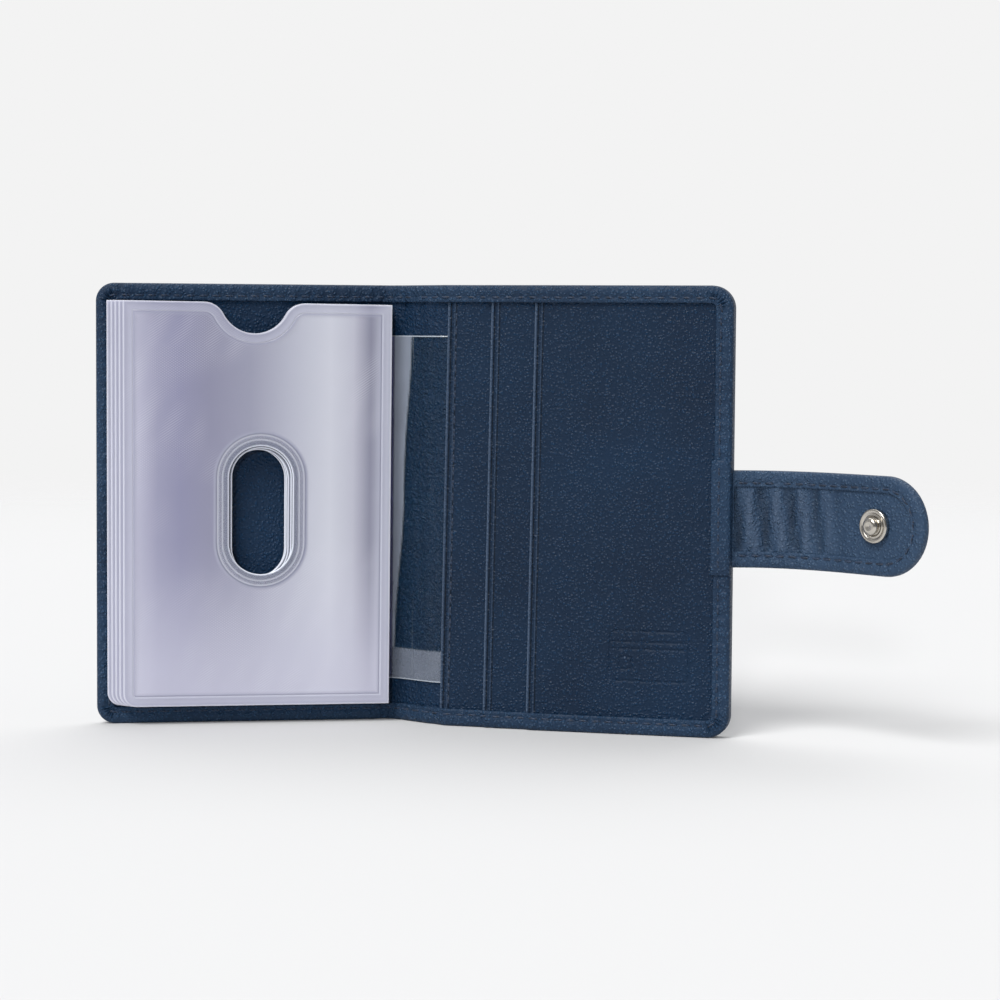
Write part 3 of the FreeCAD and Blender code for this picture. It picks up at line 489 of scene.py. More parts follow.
def along_border(x, z):
    """Distance along the border's run, for what repeats with the stitches. Round a corner it runs faster,
    because the hide's edge is gathered there into more and narrower folds."""
    run = np.where((z < 6) | (z > HEIGHT - 6), x, z)
    for end, radius in ((-PANEL, CORNER_LEFT), (SPREAD, CORNER_RIGHT)):
        for low in (True, False):
            centre_x = end + radius * (1 if end < 0 else -1)
            centre_z = radius if low else HEIGHT - radius
            past_x = (x < centre_x) if end < 0 else (x > centre_x)
            past_z = (z < centre_z) if low else (z > centre_z)
            run = np.where(past_x & past_z, np.arctan2(z - centre_z, x - centre_x) * GATHER_RADIUS, run)
    return run


def in_corner(x, z):
    """1 in the wallet's four corners, and 0 elsewhere."""
    side = ease(-PANEL + 8, -PANEL + 3, x) + ease(SPREAD - 8, SPREAD - 3, x)
    return side * (ease(8, 3, z) + ease(HEIGHT - 8, HEIGHT - 3, z))


def on_lip(up, gather=0.0):
    """Level of a line on the turned edge, with its gathers between the stitches."""
    def level(x, z):
        run = along_border(x, z)
        between = 2 * np.abs(np.cos(math.pi * run / SEAM_PITCH)) ** 3 - 0.8
        wave = gather * (1 + 0.8 * in_corner(x, z)) * between
        crumpled = 0.07 * np.sin(run * 2.9 + 1.3 * np.sin(run * 0.9)) * ease(-5, 0, x) * (1 - ease(15, 22, x))
        return lip(x) + up + wave + (crumpled if gather else 0.0)
    return level


hide_steps = [
    (3.0, -HIDE), (1.4, -HIDE), (0.75, -1.14), (0.32, -0.92), (0.08, -0.52), (0.0, 0.0),
    (0.0, on_lip(-1.15)), (0.06, on_lip(-0.66)), (0.28, on_lip(-0.28)), (0.66, on_lip(-0.06, 0.05)),
    (1.15, on_lip(PUFF, 0.10)), (1.75, on_lip(PUFF, 0.15)), (2.3, on_lip(0.02, 0.17)),
    (SEAM_INSET - 0.2, on_lip(-0.09, 0.13)), (SEAM_INSET, on_lip(-SEAM_DRAW, 0.06)),
    (SEAM_INSET + 0.2, on_lip(-0.08, 0.09)), (3.35, on_lip(0.02, 0.06)), (3.7, on_lip(0.0, 0.03)),
    (3.88, on_lip(-0.07)), (3.97, on_lip(-0.2)), (BORDER, on_lip(-0.4)), (BORDER, on_lip(-TURNED)),
    (1.4, on_lip(-TURNED)), (0.9, on_lip(-TURNED - 0.1)), (0.9, 0.1), (1.2, 0.0),
]
LEFT_BOX = (-PANEL, MID_SPINE, 0.0, HEIGHT)
RIGHT_BOX = (MID_SPINE, SPREAD, 0.0, HEIGHT)
LEFT_ROUND = (CORNER_LEFT, 0, 0, CORNER_LEFT)
RIGHT_ROUND = (0, CORNER_RIGHT, CORNER_RIGHT, 0)


def left_edge(inset):
    return edge_line(inset, LEFT_BOX, LEFT_ROUND, 0.6, "right")


def right_edge(inset):
    return edge_line(inset, RIGHT_BOX, RIGHT_ROUND, 0.6, "left")


def fold_at(piece):
    """Bakes a piece's placing into its mesh; the piece is drawn already bent, and no body is given to it."""
    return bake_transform(piece)


hide_left = make_sheet("hide_left", left_edge, hide_steps, lattice((-PANEL, MID_SPINE, 0, HEIGHT), 1.5),
                       on_wallet, cover_hide, open_x=MID_SPINE)
fold_at(hide_left)
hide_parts("outer_leather_left", "outer_leather_spine")

hide_right = make_sheet("hide_right", right_edge, hide_steps, lattice((MID_SPINE, SPREAD, 0, HEIGHT), 1.5),
                        on_wallet, cover_hide, open_x=MID_SPINE)
fold_at(hide_right)
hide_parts("outer_leather_right")

# ---- lining ---------------------------------------------------------------------------------------------
# A thin navy lining leather is glued over the board of the left cover and runs on over the spine, where it
# has no board behind it and crumples. Its edges lie under the turned border.

LINING_TOP_LEFT, LINING_TOP_SPINE = 1.6, 0.6
LINING_THICK = 0.6
TUCK = 1.0                     # how far inside the wallet's edge the lining stops
LINING_END = SPINE + 2.7       # just under the first pocket's mouth
inside_lining = cowhide("navy_lining_leather", "#06172b", "#163c5e", 0.36, 0.20, 0.4)


def lining_top(x, z):
    height = LINING_TOP_LEFT + (LINING_TOP_SPINE - LINING_TOP_LEFT) * ease(-5.5, -0.5, x)
    loose = ease(-3, 1, x) * (1 - ease(14, 17, x))
    ripple = np.sin(x * 1.25 + 0.5 * np.sin(z * 0.11)) * 0.10 + np.sin(x * 2.3 + z * 0.21) * 0.05
    return height + 0.04 + ripple * loose


def lining_floor(x, z):
    return lining_top(x, z) - LINING_THICK


def over_lining(up):
    return lambda x, z: lining_top(x, z) + up


lining_steps = [(2.0, lining_floor), (0.2, lining_floor), (0.0, over_lining(-0.4)), (0.0, over_lining(-0.2)),
                (0.2, lining_top), (1.0, lining_top), (2.4, lining_top)]


def lining_left_edge(inset):
    return edge_line(inset, (-PANEL + TUCK, MID_SPINE, TUCK, HEIGHT - TUCK), (3.3, 0, 0, 3.3), 0.9, "right")


def lining_right_edge(inset):
    return edge_line(inset, (MID_SPINE, LINING_END, TUCK, HEIGHT - TUCK), (0, 0, 0, 0), 0.9, "left")


lining_left = make_sheet("cover_lining_left", lining_left_edge, lining_steps,
                         lattice((-PANEL, MID_SPINE, 0, HEIGHT), 1.1), on_wallet, inside_lining,
                         open_x=MID_SPINE)
fold_at(lining_left)
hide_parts("lining_left", "lining_spine")

lining_right = make_sheet("spine_lining_right", lining_right_edge, lining_steps,
                          lattice((MID_SPINE, LINING_END, 0, HEIGHT), 0.7), on_wallet, inside_lining,
                          open_x=MID_SPINE)
fold_at(lining_right)

# ---- card pockets ---------------------------------------------------------------------------------------
# Three sheets of lining leather lie on each other like stairs, open towards the spine and caught in the
# border seam on their other sides. Each mouth is turned under, pressed, and marked with two creasing lines.

POCKET_LEVELS = [0.95, 1.60, 2.25]
POCKET_HIDE = 0.6
MOUTH_ROUND = 0.55
MOUTH_LEAN = 0.016             # the mouths lean towards the fore-edge at the top
CREASE_LINES = ((0.85, 0.15), (2.05, 0.10))    # from the mouth, and how deep
CREASE_LINE_WIDE = 0.17
# The mouths' folded edges get a painted highlight.
pocket_leather = cowhide("navy_pocket_leather", "#041427", "#133757", 0.34, 0.18, 0.2, edge_highlight=0.8)

# A plain card is pressed blind into the lowest corner: an outline, a stripe and a small square.
CARD_AT = (SPINE + 50.5, 18.0)
CARD_HALF = (9.0, 5.7)
CARD_ROUND = 1.5
STRIPE = (1.6, 3.2)            # above the card's middle
CHIP = (-5.4, -1.6, 1.35)      # across, up, and half its side
CHIP_ROUND = 0.4
PRESSED_DEEP = 0.22
PRESSED_WIDE = 0.24


def box_distance(x, z, half_x, half_z, radius):
    """Distance from the outline of a rounded box about the origin."""
    dx, dz = np.abs(x) - half_x + radius, np.abs(z) - half_z + radius
    outside = np.hypot(np.maximum(dx, 0), np.maximum(dz, 0)) + np.minimum(np.maximum(dx, dz), 0)
    return np.abs(outside - radius)


def pressed_card(x, z):
    """Depth of the blind card."""
    u, v = x - CARD_AT[0], z - CARD_AT[1]
    inside = (np.abs(u) < CARD_HALF[0])
    lines = [box_distance(u, v, *CARD_HALF, CARD_ROUND),
             box_distance(u - CHIP[0], v - CHIP[1], CHIP[2], CHIP[2], CHIP_ROUND)]
    lines += [np.where(inside, np.abs(v - up), 9.0) for up in STRIPE]
    near = np.minimum.reduce(lines)
    return -PRESSED_DEEP * np.exp(-(near / PRESSED_WIDE) ** 2)


def pocket_face(index):
    """Level of a pocket's visible face: creasing lines beside the mouth and a slight unevenness."""
    mouth = MOUTHS[index]
    top = POCKET_LEVELS[index] + POCKET_HIDE

    def level(x, z):
        rise = top + 0.03 * np.sin(z * 0.13 + index * 2.0) * np.sin((x - mouth) * 0.21)
        for away, deep in CREASE_LINES:
            rise = rise - deep * np.exp(-((x - mouth - away) / CREASE_LINE_WIDE) ** 2)
        return rise + (pressed_card(x, z) if index == 2 else 0.0)
    return level


def on_pocket(x, z, level):
    """The pockets were laid a little out of square."""
    lean = MOUTH_LEAN * (z - 75.0) * (1 - ease(MOUTHS[2] + 4, MOUTHS[2] + 24, x))
    return on_wallet(x + lean, z, level)


def crease_light_and_shade(index):
    """Painted light of the creasing lines: painted shade at their bottom and a painted highlight on the
    shoulder.
    """
    def tone(x, z):
        total = 0.0 * x
        for away, _ in CREASE_LINES:
            past = x - MOUTHS[index] - away
            total = total + 0.34 * np.exp(-((past + 0.3) / 0.15) ** 2) - 0.9 * np.exp(-(past / 0.14) ** 2)
        return total
    return tone


for index, mouth in enumerate(MOUTHS):
    face, base = pocket_face(index), POCKET_LEVELS[index]
    pocket_box = (mouth, SPREAD - TUCK, TUCK, HEIGHT - TUCK)

    def pocket_edge(inset, box=pocket_box):
        return edge_line(inset, box, (0, CORNER_RIGHT - 0.9, CORNER_RIGHT - 0.9, 0), 0.9)

    pocket_steps = [
        (1.0, base), (0.4, base), (0.1, base + 0.1), (0.0, base + 0.26), (0.03, base + 0.36),
        (0.12, lambda x, z, face=face: face(x, z) - 0.13), (0.3, lambda x, z, face=face: face(x, z) - 0.03),
        (MOUTH_ROUND, face), (0.7, face), (0.78, face), (0.85, face), (0.92, face), (1.0, face),
    ]
    strip = np.arange(mouth + 1.1, mouth + 3.0, 0.16)
    rows = np.arange(TUCK + 1.2, HEIGHT - TUCK - 1.0, 1.2)
    dense = np.stack([a.ravel() for a in np.meshgrid(strip, rows)], -1)
    if index == 2:
        (u, v), (wide, tall) = CARD_AT, CARD_HALF
        around = (u - wide - 1, u + wide + 1, v - tall - 1, v + tall + 1, 0.2)
        field = lattice((mouth + 3.2, SPREAD, 0, HEIGHT), 1.3, around)
    else:
        field = lattice((mouth + 3.2, SPREAD, 0, HEIGHT), 2.2)
    card_pocket = make_sheet(f"card_pocket_{index + 1}", pocket_edge, pocket_steps,
                             np.concatenate([dense, field]), on_pocket, pocket_leather,
                             marks={"pressed": crease_light_and_shade(index)})
    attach(card_pocket, "right_cover")
    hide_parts(f"pocket_{index + 1}")

# ---- seams ----------------------------------------------------------------------------------------------
# Lockstitched with bonded polyester thread in the leather's own colour, about 3 mm a stitch. Each stitch dips
# into its needle holes at both ends.

THREAD = 0.21                  # half the thread's width
STITCH = 2.25
thread_round = 8
thread_stations = np.array([-1.0, -0.93, -0.75, -0.4, 0.0, 0.4, 0.75, 0.93, 1.0])
thread_swell = np.array([0.15, 0.55, 0.85, 1.0, 1.0, 1.0, 0.85, 0.55, 0.15])
thread_rise = np.array([-0.26, -0.16, -0.02, 0.07, 0.09, 0.07, -0.02, -0.16, -0.26])

# Bonded polyester thread: a hard, slightly shiny dark cord with the lay of its twist just visible.
TWIST = 0.5                    # mm for one turn of the twist
thread_material, tree = new_material("navy_bonded_thread")
spot = add(tree, "ShaderNodeTexCoord").outputs["Object"]
lay = add(tree, "ShaderNodeTexWave", {"Vector": spot, "Scale": 2 * math.pi / (20 * TWIST * MM),
                                      "Distortion": 0.6}, bands_direction="DIAGONAL")
tint = add(tree, "ShaderNodeMix", {0: lay.outputs["Fac"], 6: colour("#0d1b2d"), 7: colour("#20344f")},
           data_type="RGBA")
ridge = add(tree, "ShaderNodeBump", {"Height": lay.outputs["Fac"], "Strength": 0.6, "Distance": 0.00005})
cord = add(tree, "ShaderNodeBsdfPrincipled", {"Base Color": tint.outputs[2], "Roughness": 0.5,
                                              "Normal": ridge.outputs[0], "Sheen Weight": 0.1})
add(tree, "ShaderNodeOutputMaterial", {"Surface": cord.outputs[0]})


def walk(line, pitch, start=0.0):
    """Spots and directions spaced evenly along a line."""
    steps = np.hypot(*np.diff(line, axis=0).T)
    total = np.concatenate([[0], np.cumsum(steps)])
    where = np.arange(start + pitch / 2, total[-1] - pitch / 3, pitch)
    spots = np.stack([np.interp(where, total, line[:, k]) for k in (0, 1)], -1)
    ahead = np.stack([np.interp(where + 0.3, total, line[:, k]) for k in (0, 1)], -1)
    return spots, ahead - spots


def sew(name, lines, surface, place):
    """Stitches along lines, lying on surface(x, z)."""
    coords, faces = [], []
    angles = np.arange(thread_round) * 2 * math.pi / thread_round
    chance = np.random.default_rng(len(name) + 7)
    for line in lines:
        spots, ways = walk(line, SEAM_PITCH)
        for spot, way in zip(spots, ways):
            way = way / max(np.hypot(*way), 1e-9)
            slant = chance.normal(0, 0.035)
            way = np.array([way[0] - slant * way[1], way[1] + slant * way[0]])
            side = np.array([-way[1], way[0]])
            rise = float(surface(spot[0], spot[1]))
            half = STITCH / 2 * (1 + chance.normal(0, 0.03))
            first = len(coords)
            for share, swell, lift in zip(thread_stations, thread_swell, thread_rise):
                centre = spot + way * half * share
                for angle in angles:
                    x, z = centre + side * THREAD * swell * math.cos(angle)
                    coords.append((x, z, rise + lift + THREAD * 0.75 * swell * math.sin(angle)))
            count = len(thread_stations)
            for row in range(count - 1):
                for k in range(thread_round):
                    n = (k + 1) % thread_round
                    a, b = first + row * thread_round, first + (row + 1) * thread_round
                    faces.append((a + k, a + n, b + n, b + k))
            faces.append(tuple(first + k for k in range(thread_round)))
            faces.append(tuple(first + (count - 1) * thread_round + k for k in range(thread_round)))
    seam = build(name, np.array(coords), faces, place, thread_material)
    return seam


def seam_bed(x, z):
    return lip(x) - SEAM_DRAW + 0.07


seam_left = sew("border_seam_left", [left_edge(SEAM_INSET)], seam_bed, on_wallet)
fold_at(seam_left)
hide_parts("stitches_left", "stitches_spine")
seam_right = sew("border_seam_right", [right_edge(SEAM_INSET)], seam_bed, on_wallet)
fold_at(seam_right)
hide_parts("stitches_right")

POCKET_SEAM = 2.1              # from the first mouth
pocket_run = np.array([(MOUTHS[0] + POCKET_SEAM, BORDER + 0.6),
                       (MOUTHS[0] + POCKET_SEAM, HEIGHT - BORDER - 0.6)])
seam_pocket = sew("pocket_seam", [pocket_run], lambda x, z: POCKET_LEVELS[0] + POCKET_HIDE - 0.06, on_pocket)
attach(seam_pocket, "right_cover")
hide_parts("stitches_pocket")

# ---- patch over the strap's root ------------------------------------------------------------------------
# A small piece of the same hide closes the border where the strap's end is let in between the layers. It is
# skived, glued and caught by the border seam.

TAB = (SPREAD - 4.6, SPREAD - 0.12, 37.0, 63.0)
TAB_ROUND = (0.5, 0.4, 0.4, 0.5)
TAB_THICK = 0.42
tab_steps = [(0.8, on_lip(-0.3)), (0.1, on_lip(-0.3)), (0.0, on_lip(0.0)), (0.05, on_lip(TAB_THICK - 0.1)),
             (0.18, on_lip(TAB_THICK)), (0.6, on_lip(TAB_THICK + 0.04, 0.03)),
             (1.2, on_lip(TAB_THICK + 0.06, 0.04))]


def wrap_over(x, z, level):
    """The patch follows the border's rounded outside edge."""
    past = np.clip((x - (SPREAD - 0.9)) / 0.9, 0, 1)
    return on_wallet(x, z, level - 0.55 * past ** 2)


tab_patch = make_sheet("strap_root_patch", lambda inset: edge_line(inset, TAB, TAB_ROUND, 0.5), tab_steps,
                       lattice(TAB, 0.6), wrap_over, cover_hide)
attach(tab_patch, "right_cover")
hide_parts("strap_tab")
tab_line = np.array([(SPREAD - SEAM_INSET, TAB[2] + 1.2), (SPREAD - SEAM_INSET, TAB[3] - 0.6)])
seam_tab = sew("patch_seam", [tab_line], lambda x, z: lip(x) + TAB_THICK, on_wallet)
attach(seam_tab, "right_cover")
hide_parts("stitches_tab")

# ---- strap ----------------------------------------------------------------------------------------------
# Two layers round a strip of board: hide outside, turned in and stitched, and a thin lining inside, which
# gathers in soft cross folds on the inside of the bend. Let into the border at one end, round at the other.

STRAP_HALF = 11.0
STRAP_MIDDLE = 49.6
STRAP_THICK = 2.4
STRAP_BORDER = 3.75
STRAP_SUNK = 0.5               # lining below the turned border
STRAP_LENGTH = 48.9            # from the bend line at the cover's edge to the tip
STRAP_IN = 4.0                 # let in behind that line
STRAP_SPLIT = 8.75             # the two bending halves meet here
STRAP_START, STRAP_SET = 6.7, -48.3    # headings where it leaves the cover and where it hangs straight
STRAP_CURL = 31.6              # length over which it curls

strap_s = np.arange(-STRAP_IN - 2, STRAP_LENGTH + 2, STEP)
strap_share = np.clip(strap_s / STRAP_CURL, 0, 1)
strap_heading = np.radians(STRAP_SET + (STRAP_START - STRAP_SET) * (1 - strap_share) ** 2)
strap_east = np.cumsum(np.cos(strap_heading)) * STEP
strap_north = np.cumsum(np.sin(strap_heading)) * STEP
strap_east -= np.interp(0, strap_s, strap_east)
strap_north -= np.interp(0, strap_s, strap_north)


def on_strap(s, z, level):
    """From (along the strap, height, level above its inside face) in mm to the frame."""
    heading = np.interp(s, strap_s, strap_heading)
    east = np.interp(s, strap_s, strap_east) + level * np.sin(heading)
    north = np.interp(s, strap_s, strap_north) - level * np.cos(heading)
    root = joint_at["strap_root_bend"]
    return np.stack([root.x + east * MM, root.y + north * MM, z * MM], -1)


def strap_fold(x, z):
    """Cross folds of the strap's inside, strongest near the root, fading to the edges and the tip."""
    strength = (1 - ease(14, 30, x)) * (1 - ease(5.5, 8.5, np.abs(z - STRAP_MIDDLE)))
    bow = 0.12 * (z - STRAP_MIDDLE)
    return strength * (0.44 * np.sin((x + bow - 8.0) * 1.01) + 0.12 * np.sin((x - bow) * 2.3 + 1.0))


def fold_light_and_shade(x, z):
    """Painted light of the folds: a painted highlight on the crests and painted shade in the furrows."""
    return 0.9 * strap_fold(x, z)


def strap_lip(up, gather=0.0):
    def level(x, z):
        round_tip = np.arctan2(z - STRAP_MIDDLE, np.maximum(x - STRAP_LENGTH + STRAP_HALF, 0.0)) * STRAP_HALF
        run = np.where(x < STRAP_LENGTH - STRAP_HALF, x, round_tip)
        return up + gather * np.cos(2 * math.pi * run / SEAM_PITCH) + gather * np.sin(run * 1.7) * 0.5
    return level


strap_steps = [
    (2.4, -STRAP_THICK), (1.0, -STRAP_THICK), (0.5, -2.33), (0.2, -2.1), (0.04, -1.7), (0.0, -1.25),
    (0.03, -0.75), (0.18, strap_lip(-0.36)), (0.45, strap_lip(-0.14, 0.02)), (0.9, strap_lip(0.02, 0.03)),
    (1.6, strap_lip(0.09, 0.05)), (2.2, strap_lip(0.04, 0.06)), (SEAM_INSET - 0.2, strap_lip(-0.08, 0.05)),
    (SEAM_INSET, strap_lip(-0.14, 0.03)), (SEAM_INSET + 0.2, strap_lip(-0.08, 0.04)),
    (3.3, strap_lip(0.0, 0.03)), (3.55, strap_lip(-0.04)), (3.7, strap_lip(-0.16)), (STRAP_BORDER, -0.35),
    (STRAP_BORDER, -STRAP_SUNK), (1.2, -STRAP_SUNK), (0.9, -0.6), (0.9, -1.3), (1.2, -1.4),
]



strap_lining_steps = [
    (1.0, -1.36), (0.15, -1.36), (0.0, -1.2), (0.0, -0.7), (0.15, -STRAP_SUNK), (1.2, -STRAP_SUNK),
    (2.6, -STRAP_SUNK + 0.01),
]
strap_core_steps = [(0.2, -1.38), (0.0, -1.38), (0.0, -1.16), (0.2, -1.16)]

# Grey board, pressed from waste paper: matt, with pale and dark fibres. It shows at cut edges only.
board, tree = new_material("grey_board")
spot = add(tree, "ShaderNodeTexCoord").outputs["Object"]
pulp = add(tree, "ShaderNodeTexNoise", {"Vector": spot, "Scale": 1000 / 0.9, "Detail": 4.0})
tint = add(tree, "ShaderNodeMix", {0: pulp.outputs["Fac"], 6: colour("#8a8378"), 7: colour("#b5ad9f")},
           data_type="RGBA")
fibre = add(tree, "ShaderNodeBump", {"Height": pulp.outputs["Fac"], "Strength": 0.3, "Distance": 0.0001})
pressed = add(tree, "ShaderNodeBsdfPrincipled", {"Base Color": tint.outputs[2], "Roughness": 0.85,
                                                 "Normal": fibre.outputs[0]})
add(tree, "ShaderNodeOutputMaterial", {"Surface": pressed.outputs[0]})

root_box = (-STRAP_IN, STRAP_SPLIT, STRAP_MIDDLE - STRAP_HALF, STRAP_MIDDLE + STRAP_HALF)
tip_box = (STRAP_SPLIT, STRAP_LENGTH, STRAP_MIDDLE - STRAP_HALF, STRAP_MIDDLE + STRAP_HALF)
root_bend, mid_bend = joint_at["strap_root_bend"], joint_at["strap_mid_bend"]
to_mid = (mid_bend - root_bend).normalized()
strap_halves = (
    ("root", root_box, (0, 0, 0, 0), "right", "right_cover", "strap_root",
     root_bend - to_mid * 0.5 * MM, root_bend + to_mid * 6 * MM),
    ("tip", tip_box, (0, STRAP_HALF, STRAP_HALF, 0), "left", "strap_root", "strap_tip",
     mid_bend - to_mid * 7 * MM, mid_bend + to_mid * 7 * MM),
)
# The strap's hide is painted lighter than the cover's, for the light that falls on the strap.
lit_strap_hide = cowhide("navy_strap_cowhide_painted_lighter", "#1a2d45", "#4a637e", 0.34, 0.18, 0.3)
for half, box, rounding, open_side, one, other, start, end in strap_halves:
    open_x = STRAP_SPLIT

    def strap_edge(inset, box=box, rounding=rounding, open_side=open_side):
        return edge_line(inset, box, rounding, 0.5, open_side)

    def lining_edge(inset, box=box, rounding=rounding, open_side=open_side):
        narrow = (box[0], box[1] - (TUCK if rounding[1] else 0), box[2] + TUCK, box[3] - TUCK)
        return edge_line(inset, narrow, tuple(max(r - TUCK, 0) for r in rounding), 0.6, open_side)

    strap_hide_half = make_sheet(f"lit_strap_hide_{half}", strap_edge, strap_steps, lattice(box, 1.0), on_strap,
                                 lit_strap_hide, open_x=open_x)
    # The lining's folds carry painted light and shade.
    strap_lining_half = make_sheet(f"strap_lining_piece_{half}", lining_edge, strap_lining_steps,
                                   lattice(box, 0.55), on_strap, lit_strap_hide, open_x=open_x,
                                   relief=strap_fold, marks={"pressed": fold_light_and_shade})
    if half == "root":
        seam_line = [np.array([(0.2, z), (STRAP_SPLIT, z)])
                     for z in (box[2] + SEAM_INSET, box[3] - SEAM_INSET)]
    else:
        seam_line = [strap_edge(SEAM_INSET)]
    strap_core_half = make_sheet(f"strap_core_piece_{half}", lining_edge, strap_core_steps,
                                 lattice(box, 1.0), on_strap, board, open_x=open_x)
    strap_seam_half = sew(f"strap_seam_{half}", seam_line, lambda x, z: -0.04, on_strap)
    for piece, node, slot in ((strap_hide_half, f"strap_leather_{half}", "outer_leather"),
                              (strap_lining_half, f"strap_lining_{half}", "lining_leather"),
                              (strap_core_half, f"strap_core_{half}", "stiffener"),
                              (strap_seam_half, f"stitches_strap_{half}", "thread")):
        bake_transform(piece)
        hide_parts(node)

# ---- snap -----------------------------------------------------------------------------------------------
# A four-part press stud of nickel-plated brass. Ball and cap hold the strap between them; the socket is
# riveted to the left cover's outside. All are turned or pressed, so each is a profile spun round its axis.

TURNS = 72

# Nickel plate on pressed brass: a warm white metal, bright, with fine circular polishing marks.
POLISH = 0.25                  # mm between the polishing marks
nickel, tree = new_material("nickel_plate")
spot = add(tree, "ShaderNodeTexCoord").outputs["Object"]
marks = add(tree, "ShaderNodeTexNoise", {"Vector": spot, "Scale": 1000 / POLISH, "Detail": 4.0,
                                         "Roughness": 0.65})
satin = add(tree, "ShaderNodeMapRange", {"Value": marks.outputs["Fac"], "To Min": 0.16, "To Max": 0.32})
shade = add(tree, "ShaderNodeMix", {0: marks.outputs["Fac"], 6: colour("#b9b2a6"), 7: colour("#dcd8d0")},
            data_type="RGBA")
scuff = add(tree, "ShaderNodeBump", {"Height": marks.outputs["Fac"], "Strength": 0.12, "Distance": 0.00003})
metal = add(tree, "ShaderNodeBsdfPrincipled", {"Base Color": shade.outputs[2], "Metallic": 1.0,
                                               "Roughness": satin.outputs[0], "Normal": scuff.outputs[0]})
add(tree, "ShaderNodeOutputMaterial", {"Surface": metal.outputs[0]})


def spin(name, profile, centre, heading, outward):
    """A turned piece. profile is (radius, height) from the axis at its foot to the axis at its top, in mm.
    outward is +1 where it rises out of the back of its leather, and -1 where it rises to the inside."""
    angles = np.arange(TURNS) * 2 * math.pi / TURNS
    h = math.radians(heading)
    along, up = np.array([math.cos(h), math.sin(h), 0.0]), np.array([0.0, 0.0, 1.0])
    out = outward * np.array([-math.sin(h), math.cos(h), 0.0])
    coords, faces, rings = [], [], []
    for radius, height in profile:
        foot = np.array(centre) + out * height * MM
        if radius == 0:
            rings.append([len(coords)])
            coords.append(foot)
            continue
        rings.append(list(range(len(coords), len(coords) + TURNS)))
        coords += [foot + radius * MM * (along * math.cos(a) + up * math.sin(a)) for a in angles]
    for one, other in zip(rings, rings[1:]):
        for k in range(TURNS):
            n = (k + 1) % TURNS
            corners = [one[k % len(one)], one[n % len(one)], other[n % len(other)], other[k % len(other)]]
            faces.append(tuple(dict.fromkeys(corners)))
    return build(name, np.array(coords)[:, [0, 2, 1]], faces, lambda x, z, y: np.stack([x, y, z], -1), nickel)


def arc_points(cx, cy, radius, first, last, count):
    """Points of a circle, as (radius, height) of a profile."""
    angles = np.radians(np.linspace(first, last, count))
    return [(cx + radius * math.cos(a), cy + radius * math.sin(a)) for a in angles]


STUD_X = 17.6                  # from the strap's second bend line
TIP_HEADING = -47.0
tip_way = Vector((math.cos(math.radians(TIP_HEADING)), math.sin(math.radians(TIP_HEADING)), 0))
stud_foot = mid_bend + tip_way * STUD_X * MM
stud_foot = (stud_foot.x, stud_foot.y, STRAP_MIDDLE * MM)
ball = [(0, -0.5), (3.55, -0.5), (3.8, -0.3), (3.8, 0.35)]
ball += arc_points(3.42, 0.42, 0.38, 0, 100, 7)
ball += [(3.1, 0.79), (2.86, 0.66), (2.74, 0.56), (2.6, 0.56), (2.5, 0.66), (2.34, 0.66), (2.22, 0.4),
         (2.12, 0.2), (1.7, 0.16), (1.52, 0.3), (1.48, 0.7)]
ball += arc_points(1.15, 1.4, 0.8, -62, 78, 12)
ball += [(0.95, 2.18), (0.5, 2.14), (0.28, 2.08), (0, 2.06)]
stud = spin("snap_ball", ball, stud_foot, TIP_HEADING, -1)
cap_profile = [(0, 2.45), (5.3, 2.4), (5.48, 2.52), (5.5, 2.75)]
cap_profile += arc_points(4.3, 2.5, 1.2, 20, 76, 8)
cap_profile += [(3.6, 3.62), (2.4, 3.69), (1.2, 3.70), (0, 3.70)]
cap = spin("snap_cap_shell", cap_profile, stud_foot, TIP_HEADING, 1)
for piece, node in ((stud, "snap_stud"), (cap, "snap_cap")):
    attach(piece, "strap_tip")
    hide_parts(node)

SOCKET_X = -52.0
socket_way = Vector((math.cos(math.radians(LEFT_HEADING)), math.sin(math.radians(LEFT_HEADING)), 0))
socket_foot = joint_at["crease_left"] + socket_way * SOCKET_X * MM
socket_profile = [(1.55, 1.2), (4.8, 1.2), (5.0, 1.32), (5.0, 1.9)]
socket_profile += arc_points(4.55, 2.3, 0.45, 0, 60, 5)
socket_profile += [(4.35, 2.9), (4.2, 3.1)] + arc_points(3.6, 2.9, 0.3, 40, 90, 4)
socket_profile += [(3.1, 3.2), (2.75, 3.16), (2.4, 3.18), (2.22, 3.05), (2.2, 2.6), (2.28, 2.3), (2.2, 2.0),
                   (2.2, 1.4), (1.55, 1.4), (1.55, 1.2)]
socket_foot = (socket_foot.x, socket_foot.y, STRAP_MIDDLE * MM)
socket = spin("snap_socket_ring", socket_profile, socket_foot, LEFT_HEADING, 1)
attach(socket, "left_cover")
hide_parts("snap_socket")
rivet = frame["nodes"]["snap_socket_rivet"]
rivet.data.materials.clear()
rivet.data.materials.append(nickel)

# ---- card sleeves ---------------------------------------------------------------------------------------
# Five leaves, each two sheets of frosted PVC welded together on three sides, round the oval push slot and
# along the thumb notch. All are welded into one hinge at the crease, and the lower leaves are wider.

